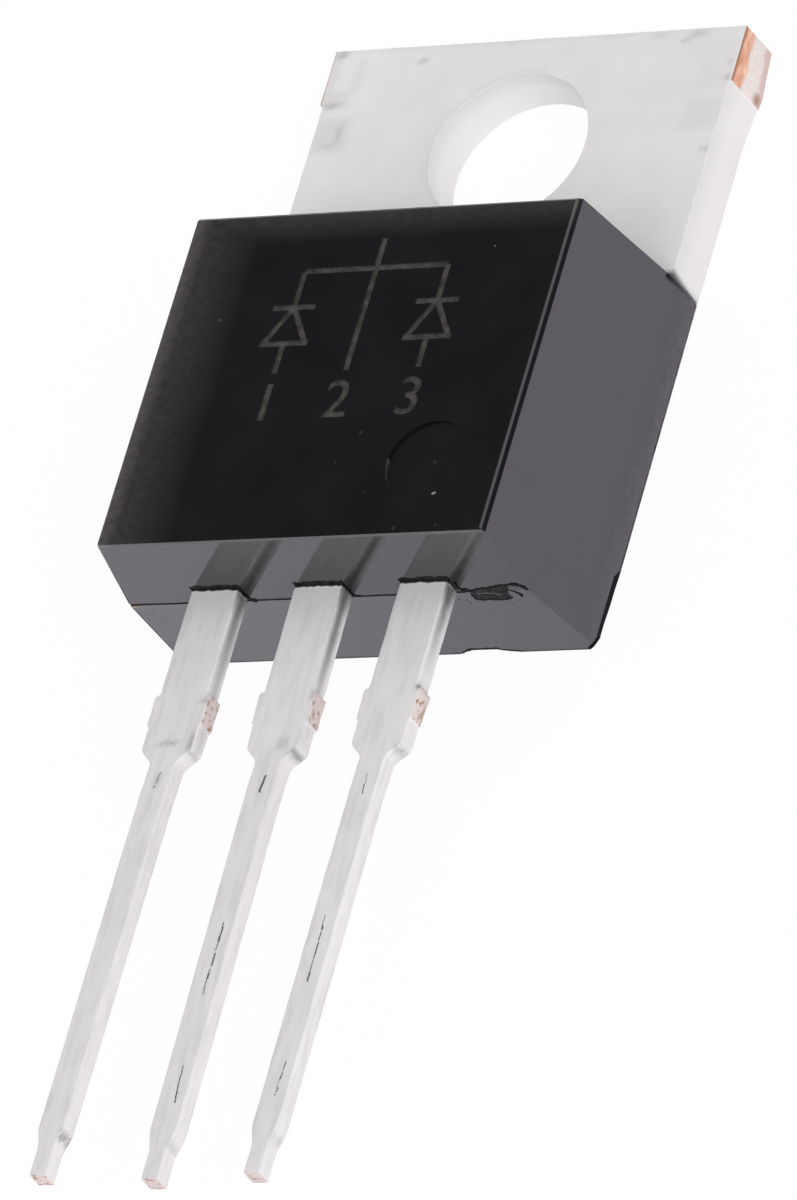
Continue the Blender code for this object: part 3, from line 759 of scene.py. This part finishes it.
def stroke_tree(name):
    """Geometry nodes that turn the edges of a mesh into closed strokes of one width and depth."""
    tree = bpy.data.node_groups.new(name, "GeometryNodeTree")
    for socket, kind in (("Paths", "Geometry"), ("Width", "Float"), ("Depth", "Float"), ("Finish", "Material")):
        tree.interface.new_socket(socket, in_out="INPUT", socket_type="NodeSocket" + kind)
    tree.interface.new_socket("Strokes", in_out="OUTPUT", socket_type="NodeSocketGeometry")
    given = add(tree, "NodeGroupInput").outputs
    curves = add(tree, "GeometryNodeMeshToCurve", {0: given["Paths"]}).outputs[0]
    levelled = add(tree, "GeometryNodeSetCurveNormal", {0: curves}, mode="Z_UP").outputs[0]
    section = add(tree, "GeometryNodeCurvePrimitiveQuadrilateral", {0: given["Width"], 1: given["Depth"]}).outputs[0]
    swept = add(tree, "GeometryNodeCurveToMesh", {"Curve": levelled, "Profile Curve": section, "Fill Caps": True})
    real = add(tree, "GeometryNodeRealizeInstances", {0: swept.outputs[0]}).outputs[0]
    finished = add(tree, "GeometryNodeSetMaterial", {"Geometry": real, "Material": given["Finish"]}).outputs[0]
    add(tree, "NodeGroupOutput", {0: finished})
    return tree


def through_tree(thing, tree, **values):
    """Runs an object's mesh through a geometry node tree, and keeps the result as its plain mesh."""
    modifier = thing.modifiers.new(tree.name, "NODES")
    modifier.node_group = tree
    for socket in tree.interface.items_tree:
        if socket.in_out == "INPUT" and values.get(socket.name) is not None:
            modifier[socket.identifier] = values[socket.name]
    plain = evaluated_mesh(thing)
    thing.modifiers.remove(modifier)
    thing.data = plain
    return thing


def stroke_along(name, path, width, depth, finish, tree):
    """A mesh object that holds one stroke along a path."""
    shape = bmesh.new()
    corners = [shape.verts.new(point) for point in path]
    for first, second in zip(corners, corners[1:]):
        shape.edges.new((first, second))
    return through_tree(object_from(shape, name, []), tree, Width=width, Depth=depth, Finish=finish)


# The stretches of the parting line that show, and its width and depth, in millimetres
SEAM_STRETCHES = (-5.06, 3.35), (4.80, 5.06)
SEAM_WIDTH = 0.05
SEAM_DEPTH = 0.065

# The circuit symbol on the printed face, in millimetres across and up the face
SYMBOL_MIDDLE = 0.15
BRANCH_APART = 1.75
BUS_Y = -1.85
TAB_STUB_Y = -1.10
ARROW_TOP_Y = -2.75
ARROW_FOOT_Y = -3.65
ARROW_HALF = 0.52
BRANCH_FOOT_Y = -4.40
NUMBER_Y = -5.55
NUMBER_HEIGHT = 0.92
NUMBER_WEIGHT = 0.012
NUMBER_WELD = 0.004
STROKE = 0.14
ETCH_DEPTH = 0.03
# A figure's height as a share of the font's size
FIGURE_SHARE = 0.7
# The length of a diode's bar as a share of its arrow's width
BAR_SHARE = 1.15


def symbol_paths():
    """Two diodes that share one cathode: an arrow and a bar on each outer branch, and the common middle line."""
    level = PRINTED_Z / MM
    left, right = SYMBOL_MIDDLE - BRANCH_APART, SYMBOL_MIDDLE + BRANCH_APART
    paths = [
        [(left, BUS_Y), (right, BUS_Y)],
        [(SYMBOL_MIDDLE, TAB_STUB_Y), (SYMBOL_MIDDLE, BRANCH_FOOT_Y)],
    ]
    for x in (left, right):
        paths.append([(x, BUS_Y), (x, ARROW_TOP_Y)])
        paths.append([(x - ARROW_HALF, ARROW_TOP_Y), (x + ARROW_HALF, ARROW_TOP_Y)])
        paths.append([(x, ARROW_TOP_Y), (x - ARROW_HALF, ARROW_FOOT_Y)])
        paths.append([(x, ARROW_TOP_Y), (x + ARROW_HALF, ARROW_FOOT_Y)])
        paths.append([(x - BAR_SHARE * ARROW_HALF, ARROW_FOOT_Y), (x + BAR_SHARE * ARROW_HALF, ARROW_FOOT_Y)])
        paths.append([(x, ARROW_FOOT_Y), (x, BRANCH_FOOT_Y)])
    return [[Vector((x, y, level)) * MM for x, y in path] for path in paths]


def terminal_number(text, x, finish):
    """A pin number as a solid that reaches into the printed face."""
    letters = bpy.data.curves.new("terminal_" + text, "FONT")
    letters.body = text
    letters.size = NUMBER_HEIGHT / FIGURE_SHARE
    letters.align_x = "CENTER"
    letters.extrude = ETCH_DEPTH
    letters.offset = NUMBER_WEIGHT
    drawn = bpy.data.objects.new("terminal_" + text, letters)
    bpy.context.scene.collection.objects.link(drawn)
    shape = bmesh.new()
    shape.from_mesh(evaluated_mesh(drawn))
    bmesh.ops.remove_doubles(shape, verts=shape.verts, dist=NUMBER_WELD)
    discard(drawn)
    mesh = bpy.data.meshes.new("terminal_" + text)
    shape.to_mesh(mesh)
    shape.free()
    mesh.transform(Matrix.Translation(Vector((x, NUMBER_Y, PRINTED_Z / MM)) * MM) @ Matrix.Scale(MM, 4))
    mesh.materials.clear()
    mesh.materials.append(finish)
    solid = bpy.data.objects.new("terminal_" + text, mesh)
    bpy.context.scene.collection.objects.link(solid)
    return solid


def cut_away(thing, cutter):
    """Cuts one object with another, whose finish stays on the cut faces, and removes the cutter."""
    modifier = thing.modifiers.new("cut", "BOOLEAN")
    modifier.operation = "DIFFERENCE"
    modifier.solver = "MANIFOLD"
    modifier.material_mode = "TRANSFER"
    modifier.object = cutter
    cut = evaluated_mesh(thing)
    thing.modifiers.remove(modifier)
    thing.data = cut
    discard(cutter)


def side_x(z):
    """How far out the moulding's sides are at a height."""
    return BODY_HIGH.x - SIDE_INSET * z / PRINTED_Z


def lead_end_y(z):
    """Where the moulding's lead end is at a height. Its two halves lean in from the parting line."""
    if z > LEAD_BACK_Z:
        return LEAD_END_Y + LEAD_END_FRONT_INSET * (z - LEAD_BACK_Z) / (PRINTED_Z - LEAD_BACK_Z)
    return LEAD_END_Y + LEAD_END_REAR_INSET * (LEAD_BACK_Z - z) / LEAD_BACK_Z


def on_lead_end(points):
    """Places on the lead end from pairs of millimetres across and up."""
    return [Vector((x * MM, lead_end_y(z * MM), z * MM)) for x, z in points]


def parting_path(start, end):
    """The mould's parting line from one place to another across the lead end's ridge, along which it wanders."""
    steps = round((end - start) / 0.16)
    path = []
    for i in range(steps + 1):
        x = start + (end - start) * i / steps
        path.append((x, LEAD_BACK_Z / MM + 0.012 * wobble(Vector((x, 0, 0)), 0.5, 21)))
    return on_lead_end(path)


def square_corners(shape):
    """Makes the moulding's upright corners and its back's border crisp: only the printed face's border is eased."""
    for vertex in shape.verts:
        if vertex.co.z > PRINTED_Z - EDGE_DEPTH or vertex.co.y > -2 * MOULD_EDGE:
            continue
        low = vertex.co.z < EDGE_DEPTH
        level = 0.0 if low else vertex.co.z
        edge = math.copysign(side_x(level), vertex.co.x)
        near_side = abs(vertex.co.x - edge) < NEAR_EDGE
        near_end = vertex.co.y < lead_end_y(level) + NEAR_EDGE
        if near_side and (near_end or low):
            vertex.co.x = edge
        if near_end and (near_side or low):
            vertex.co.y = lead_end_y(level)
        if low and (near_side or near_end):
            vertex.co.z = 0
    bmesh.ops.remove_doubles(shape, verts=shape.verts, dist=WELD)


def ease_right_border(shape):
    """Widens the two facets of the printed face's right border, whose gloss shows as a pale and a dark line."""
    lean = (BODY_HIGH.x - BORDER_OUTER_X) / BORDER_OUTER_Z
    # The solid's border has three rows of points: on the printed face, between the facets and on the side
    face_row, middle_row = PRINTED_Z - 0.005 * MM, PRINTED_Z - 0.04 * MM
    for vertex in shape.verts:
        x, y, z = vertex.co
        at_leads = y < lead_end_y(PRINTED_Z) + NEAR_EDGE
        if x < side_x(PRINTED_Z) - NEAR_EDGE:
            continue
        if z < PRINTED_Z - EDGE_DEPTH:
            # The side follows its moved upper edge, and stays flat
            if abs(x - side_x(z)) < 0.003 * MM:
                vertex.co.x = BODY_HIGH.x - lean * z
        elif z > face_row:
            vertex.co.x = BORDER_INNER_X
        elif z > middle_row:
            vertex.co = (BORDER_MIDDLE_X, BORDER_END_Y if at_leads else y, BORDER_MIDDLE_Z)
        else:
            vertex.co = (BORDER_OUTER_X, lead_end_y(BORDER_OUTER_Z) if at_leads else y, BORDER_OUTER_Z)
    bmesh.ops.remove_doubles(shape, verts=shape.verts, dist=WELD)


def break_corner(shape, finish):
    """Breaks off the moulding's lower right corner and gives the break a finish."""
    first, way = plane_through(BROKEN_CORNER)
    everything = shape.verts[:] + shape.edges[:] + shape.faces[:]
    cut = bmesh.ops.bisect_plane(shape, geom=everything, plane_co=first, plane_no=way, clear_outer=True)
    rim = [part for part in cut["geom_cut"] if isinstance(part, bmesh.types.BMEdge)]
    for face in bmesh.ops.holes_fill(shape, edges=rim)["faces"]:
        face.material_index = finish


# How much is worn off the back's edges: place along the edge and depth, in millimetres, and how thick the strokes
# are that take it off
WORN_STROKE = 0.36
WORN_END = [(1.80, 0.0), (1.93, 0.10), (2.10, 0.16), (2.40, 0.155), (2.70, 0.16), (2.86, 0.07), (3.10, 0.02), (3.20, 0)]
WORN_SIDE = [(-8.30, 0.0), (-8.18, 0.05), (-7.90, 0.045), (-7.50, 0.025), (-7.05, 0.02), (-6.60, 0.0)]


def worn_back_edges():
    """Paths along the back's two edges in view. A stroke along them takes off what is worn away."""
    along_end = [Vector((x, lead_end_y(0) / MM, depth - WORN_STROKE / 2)) * MM for x, depth in WORN_END]
    along_side = [Vector((BODY_HIGH.x / MM + WORN_STROKE / 2 - depth, y, 0)) * MM for y, depth in WORN_SIDE]
    return [along_end, along_side]


# The ejector pin's mark, the way in which its floor rises, and the stretches of its wall, in degrees round it, that get
# painted shade and a painted highlight
EJECTOR_MIDDLE = Vector((2.80, -6.73)) * MM
EJECTOR_RADIUS = 0.95 * MM
EJECTOR_DEPTH = 0.07 * MM
EJECTOR_RISE = Vector((0.88, -0.30))
PAINTED_SHADE_WALL = 100, 168
PAINTED_HIGHLIGHT_WALL = 174, 222


def press_ejector_mark(shape):
    """Tilts the floor of the mark, so that it is deepest at the left and level with the face at the right."""
    floor = [face for face in shape.faces if len(face.verts) > 12 and face.normal.z > 0.9
             and abs(face.calc_center_median().z - PRINTED_Z + EJECTOR_DEPTH) < 0.01 * MM]
    bmesh.ops.poke(shape, faces=floor)
    for vertex in shape.verts:
        way = vertex.co.xy - EJECTOR_MIDDLE
        if way.length < EJECTOR_RADIUS + 0.02 * MM and abs(vertex.co.z - PRINTED_Z + EJECTOR_DEPTH) < 0.01 * MM:
            share = 0.5 - 0.5 * way.dot(EJECTOR_RISE) / EJECTOR_RADIUS
            vertex.co.z = PRINTED_Z - EJECTOR_DEPTH * max(0.03, min(1.0, 1.15 * share))


# Painted shade and painted highlight: one stretch of the mark's wall gets the dull black finish, another a pale grey
# one
def finish_ejector_wall(thing, dark, pale):
    for face in thing.data.polygons:
        way = face.center.xy - EJECTOR_MIDDLE
        if abs(way.length - EJECTOR_RADIUS) < 0.03 * MM and abs(face.normal.z) < 0.5:
            turn = math.degrees(math.atan2(way.y, way.x)) % 360
            for finish, (start, end) in ((dark, PAINTED_SHADE_WALL), (pale, PAINTED_HIGHLIGHT_WALL)):
                if start < turn < end:
                    face.material_index = finish_number(thing, finish)


def finish_number(thing, finish):
    """The number of a finish among an object's own. It is added if it isn't there."""
    if finish.name not in thing.data.materials:
        thing.data.materials.append(finish)
    return thing.data.materials.find(finish.name)


def epoxy_moulding(epoxy, mark, dull_black_and_shade, seam, rim, tree):
    """The moulding with crisp corners, its circuit symbol, its parting line, its ejector mark with painted shade and a
    painted highlight on its wall, and its wear.
    """
    shape = welded_copy("moulded_body")
    square_corners(shape)
    ease_right_border(shape)
    break_corner(shape, 1)
    press_ejector_mark(shape)
    body = object_from(shape, "epoxy_moulding", [])
    # The break has finish number 1, the dull black one, which also paints shade
    for finish in (epoxy, dull_black_and_shade):
        body.data.materials.append(finish)
    for path in symbol_paths():
        cut_away(body, stroke_along("symbol", path, STROKE * MM, 2 * ETCH_DEPTH * MM, mark, tree))
    for number, place in (("1", -1), ("2", 0), ("3", 1)):
        cut_away(body, terminal_number(number, SYMBOL_MIDDLE + place * BRANCH_APART, mark))
    for start, end in SEAM_STRETCHES:
        cut_away(body, stroke_along("seam", parting_path(start, end), SEAM_WIDTH * MM, SEAM_DEPTH * MM, seam, tree))
    for path in worn_back_edges():
        cut_away(body, stroke_along("worn_edge", path, WORN_STROKE * MM, WORN_STROKE * MM, dull_black_and_shade, tree))
    finish_ejector_wall(body, dull_black_and_shade, rim)
    body.data.shade_flat()
    return body


# The torn flash's finishes, by their numbers among those that main() gives it
PAINTED_SHADOW, DARK_FILM, GREY_FILM, STAIN_AND_SHADE = range(4)

# Torn flash on the lead end, in millimetres across and up it. Each border or streak has a mean width and a finish. The
# blackest borders and streaks are painted shadow under the flash's edges
FLASH_FILM = [
    (3.45, 2.73), (3.52, 2.79), (3.69, 2.81), (3.90, 2.82), (4.06, 2.85), (4.28, 2.88), (4.42, 2.84), (4.38, 2.71),
    (4.30, 2.61), (4.29, 2.42), (4.13, 2.35), (3.92, 2.34), (3.74, 2.38), (3.54, 2.34), (3.42, 2.44), (3.42, 2.60),
]
FLASH_LINES = [
    ([(3.17, 3.02), (3.22, 2.88), (3.27, 2.77), (3.37, 2.78), (3.47, 2.71)], 0.095, PAINTED_SHADOW),
    ([(3.42, 2.60), (3.42, 2.44), (3.54, 2.35), (3.74, 2.39), (3.92, 2.35), (4.13, 2.36), (4.29, 2.42)], 0.070, PAINTED_SHADOW),
    ([(3.45, 2.73), (3.69, 2.81), (3.90, 2.82), (4.06, 2.85), (4.28, 2.88)], 0.050, PAINTED_SHADOW),
    ([(4.28, 2.87), (4.42, 2.89), (4.50, 2.90)], 0.060, PAINTED_SHADOW),
    ([(4.50, 2.90), (4.61, 2.90), (4.71, 2.83), (4.84, 2.75)], 0.130, PAINTED_SHADOW),
    ([(4.40, 2.72), (4.53, 2.62), (4.56, 2.47)], 0.060, PAINTED_SHADOW),
    ([(4.16, 2.46), (4.28, 2.39)], 0.100, PAINTED_SHADOW),
    ([(4.05, 2.76), (4.20, 2.68), (4.33, 2.72)], 0.035, PAINTED_SHADOW),
    ([(3.55, 2.62), (3.75, 2.66), (3.98, 2.62), (4.15, 2.55)], 0.060, GREY_FILM),
    ([(2.99, 2.42), (3.02, 2.40)], 0.050, GREY_FILM),
    ([(3.17, 2.38), (3.20, 2.35)], 0.055, GREY_FILM),
    ([(3.17, 2.25), (3.20, 2.23)], 0.040, GREY_FILM),
    ([(4.16, 2.15), (4.19, 2.13)], 0.050, GREY_FILM),
]
# A painted shadow fills the gap at the right of a lead's root: its path from the lead's middle, for the left and the
# centre lead
ROOT_GAP = [(0.61, 3.13), (0.59, 3.02), (0.61, 2.88), (0.66, 2.75), (0.80, 2.71)]
ROOT_GAP_WIDTH = 0.11
# A dark, uneven line of painted shade on the moulding lies over each lead's root, where the crevice is
ROOT_LINE_Z = 3.185
ROOT_LINE_HALF = 0.60
ROOT_LINE_WIDTH = 0.085
# A dull rim follows the worn stretch of the lead end's back edge
WORN_RIM = 0.045
WORN_RIM_WIDTH = 0.06
# How far the film stands out of the moulding, how thick the lines half sunk in it are, and the film's middle
FILM_LIFT = 0.005
LINE_THICKNESS = 0.016
FILM_MIDDLE_X = 3.90


def ragged(path, step, amount, seed):
    """A path in millimetres, divided into short steps whose ends are moved at random."""
    chance = random.Random(seed)
    places = [path[0]]
    for (first_x, first_z), (last_x, last_z) in zip(path, path[1:]):
        count = max(1, round(math.hypot(last_x - first_x, last_z - first_z) / step))
        for i in range(1, count + 1):
            x = first_x + (last_x - first_x) * i / count + chance.uniform(-amount, amount)
            z = first_z + (last_z - first_z) * i / count + chance.uniform(-amount, amount)
            places.append((x, z))
    return places


def uneven_line(joined, path, width, finish, seed, tree):
    """Adds a line to a mesh as overlapping strokes, each with a width of its own."""
    chance = random.Random(seed)
    places = ragged(path, step=0.045, amount=0.014, seed=seed)
    start = 0
    while start < len(places) - 1:
        end = min(len(places) - 1, start + chance.choice((1, 2, 3)))
        part = on_lead_end(places[start:end + 1])
        stroke = stroke_along("stroke", part, LINE_THICKNESS * MM, width * chance.uniform(0.45, 1.3) * MM, None, tree)
        for face in stroke.data.polygons:
            face.material_index = finish
        joined.from_mesh(stroke.data)
        discard(stroke)
        start = end


def torn_flash_and_shade(finishes, tree):
    """A dark film of torn flash with ragged borders and streaks, the blackest of them painted shadow, the painted
    shadow in the gaps beside the leads' roots, the uneven dark lines of painted shade over the leads' roots, and a dark
    line along the worn back edge.
    """
    shape = bmesh.new()
    for number, (path, width, finish) in enumerate(FLASH_LINES):
        uneven_line(shape, path, width, finish, number, tree)
    for number in (-1, 0, 1):
        middle = number * LEAD_PITCH / MM
        path = [(middle - ROOT_LINE_HALF, ROOT_LINE_Z), (middle + ROOT_LINE_HALF, ROOT_LINE_Z)]
        uneven_line(shape, path, ROOT_LINE_WIDTH, STAIN_AND_SHADE, 40 + number, tree)
        if number < 1:
            uneven_line(shape, [(middle + x, z) for x, z in ROOT_GAP], ROOT_GAP_WIDTH, PAINTED_SHADOW, 50 + number, tree)
    uneven_line(shape, [(x, depth + WORN_RIM) for x, depth in WORN_END], WORN_RIM_WIDTH, STAIN_AND_SHADE, 60, tree)
    lift = Vector((0, -FILM_LIFT * MM, 0))
    border = ragged(FLASH_FILM + FLASH_FILM[:1], step=0.05, amount=0.016, seed=30)
    rim = [shape.verts.new(place + lift) for place in on_lead_end(border)]
    middle = shape.verts.new(on_lead_end([(FILM_MIDDLE_X, LEAD_BACK_Z / MM)])[0] + lift)
    for first, second in zip(rim, rim[1:] + rim[:1]):
        face = shape.faces.new((middle, first, second))
        face.material_index = DARK_FILM
    shape.normal_update()
    return object_from(shape, "torn_flash_and_shade", finishes)


# Scratches and crumbs


def lead_point(number, down, across):
    """A place on a lead's front face."""
    node = {-1: "left_lead", 0: "tab_and_centre_lead", 1: "right_lead"}[number]
    z = LEAD_FRONT_Z - lead_front_slope(node) * down
    return Vector((number * LEAD_PITCH + across, LEAD_END_Y - down, z))


# Scratches along the shanks: lead, start and end down it, place across at each end, width
SCRATCHES = [
    (0, 8.00, 9.70, 0.05, 0.03, 0.050),
    (0, 11.35, 12.22, 0.05, 0.09, 0.040),
    (0, 4.52, 4.93, 0.04, 0.00, 0.050),
    (1, 7.95, 9.52, -0.01, -0.01, 0.044),
    (1, 11.38, 12.18, 0.05, 0.02, 0.036),
    (1, 4.58, 5.07, -0.02, 0.01, 0.034),
    (-1, 4.40, 4.78, 0.01, -0.04, 0.030),
]


def lead_scratches(finish, tree):
    """Each scratch is a row of slivers that vary in length and width and wander off its line."""
    joined = bmesh.new()
    for number, start, end, first, last, width in SCRATCHES:
        chance = random.Random(f"{number} {start}")
        down = start
        while down < end:
            length = chance.uniform(0.10, 0.34)
            stop = min(down + length, end)
            drift = chance.gauss(0, 0.010)
            path = []
            for step in range(4):
                place = down + (stop - down) * step / 3
                share = (place - start) / (end - start)
                across = first + (last - first) * share + drift + chance.gauss(0, 0.004)
                path.append(lead_point(number, place * MM, across * MM))
            sliver = stroke_along("scratch", path, width * chance.uniform(0.35, 1.0) * MM, 0.006 * MM, finish, tree)
            joined.from_mesh(sliver.data)
            discard(sliver)
            down = stop + chance.choice((-0.04, -0.02, 0.03, 0.06))
    return object_from(joined, "lead_scratches", [finish])


# Pale crumbs on the printed face: place, half length and turn in degrees
CRUMBS = [(3.22, -7.57, 0.058, 20), (2.92, -1.46, 0.022, 0), (-3.35, -2.97, 0.022, 40), (0.60, -6.70, 0.014, 0)]
COPPER_FLECK = [(-4.83, 2.655), (-4.74, 2.64), (-4.62, 2.66)]
FLECK_WIDTH = 0.045


def crumbs_and_fleck(pale, copper, tree):
    """Crumbs sunk in the printed face, and a fleck of bare copper at the left end of the parting line."""
    shape = bmesh.new()
    for x, y, half, turn in CRUMBS:
        place = Matrix.Translation(Vector((x, y, PRINTED_Z / MM)) * MM) @ Matrix.Rotation(math.radians(turn), 4, "Z")
        size = Matrix.Diagonal((half * MM, 0.6 * half * MM, 0.35 * half * MM, 1))
        bmesh.ops.create_icosphere(shape, subdivisions=2, radius=1, matrix=place @ size)
    for vertex in shape.verts:
        vertex.co += 0.005 * MM * wobble(vertex.co, 0.02 * MM, 9) * Vector((1, 1, 0))
    fleck = stroke_along("fleck", on_lead_end(COPPER_FLECK), LINE_THICKNESS * MM, FLECK_WIDTH * MM, None, tree)
    for face in fleck.data.polygons:
        face.material_index = 1
    shape.from_mesh(fleck.data)
    discard(fleck)
    return object_from(shape, "crumbs_and_fleck", [pale, copper])


def put_in_frame(piece, slot, *nodes):
    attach(piece, "root")
    if nodes:
        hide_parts(*nodes)


def main():
    photograph_camera()
    white_world()
    white_table()
    softbox("overhead", 15, 62, 260 * MM, 0.225)
    softbox("right", 62, 36, 240 * MM, 0.255)
    softbox("back", 158, 58, 200 * MM, 0.06)
    bpy.context.scene.view_settings.view_transform = "Standard"

    epoxy = black_epoxy()
    mark = laser_mark()
    tin = matt_tin()
    open_scratch = scratch_shadow()
    # Dull black for the corner's break and the worn back edges, and painted shade on the ejector mark's wall
    dull_black_and_shade = dull_epoxy("dull black and painted shade", (0.002, 0.002, 0.002), (0.006, 0.006, 0.006), 0.1 * MM)
    seam = dull_epoxy("parting line", (0.018, 0.018, 0.019), (0.05, 0.049, 0.052), 0.3 * MM)
    # A pale grey painted highlight on the ejector mark's wall
    rim = dull_epoxy("painted highlight grey", (0.03, 0.03, 0.031), (0.11, 0.107, 0.108), 0.12 * MM)
    crumb = dull_epoxy("pale crumb", (0.10, 0.10, 0.10), (0.30, 0.29, 0.29), 0.03 * MM)
    copper = dull_epoxy("copper fleck", (0.30, 0.22, 0.18), (0.62, 0.50, 0.43), 0.06 * MM)
    flash = [
        # Near-black painted shadow for gaps and under the flash's edges
        dull_epoxy("painted gap shadow", (0.003, 0.003, 0.003), (0.012, 0.011, 0.011), 0.08 * MM),
        dull_epoxy("dark film", (0.012, 0.012, 0.0125), (0.045, 0.044, 0.046), 0.10 * MM),
        dull_epoxy("grey film", (0.05, 0.049, 0.05), (0.13, 0.127, 0.128), 0.10 * MM),
        # Painted shade over the leads' roots, and a stain along the worn back edge
        dull_epoxy("stain and painted shade", (0.006, 0.0055, 0.005), (0.04, 0.036, 0.03), 0.1 * MM),
    ]
    tree = stroke_tree("strokes along edges")

    put_in_frame(epoxy_moulding(epoxy, mark, dull_black_and_shade, seam, rim, tree), "epoxy", "moulded_body")
    put_in_frame(torn_flash_and_shade(flash, tree), "epoxy")
    put_in_frame(crumbs_and_fleck(crumb, copper, tree), "epoxy")
    for node, name in (
        ("tab_and_centre_lead", "tinned_tab_and_centre_lead"),
        ("left_lead", "tinned_left_lead"),
        ("right_lead", "tinned_right_lead"),
    ):
        put_in_frame(metal_piece(node, name, tin), "tinned_copper", node)
    put_in_frame(lead_scratches(open_scratch, tree), "tinned_copper")

    silicon = sealed_finish("silicon chip", (0.16, 0.17, 0.21), (0.27, 0.28, 0.32), 0.2, 0.6, 0.4 * MM)
    solder = sealed_finish("chip solder", (0.42, 0.42, 0.44), (0.55, 0.55, 0.57), 0.45, 1.0, 0.2 * MM)
    aluminium = sealed_finish("bond wire aluminium", (0.78, 0.78, 0.8), (0.88, 0.88, 0.89), 0.3, 1.0, 0.15 * MM)
    for side in ("left", "right"):
        for piece, finish in (("die", silicon), ("die_solder", solder), ("bond_wire", aluminium)):
            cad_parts[f"{side}_{piece}"].data.materials.clear()
            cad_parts[f"{side}_{piece}"].data.materials.append(finish)


main()
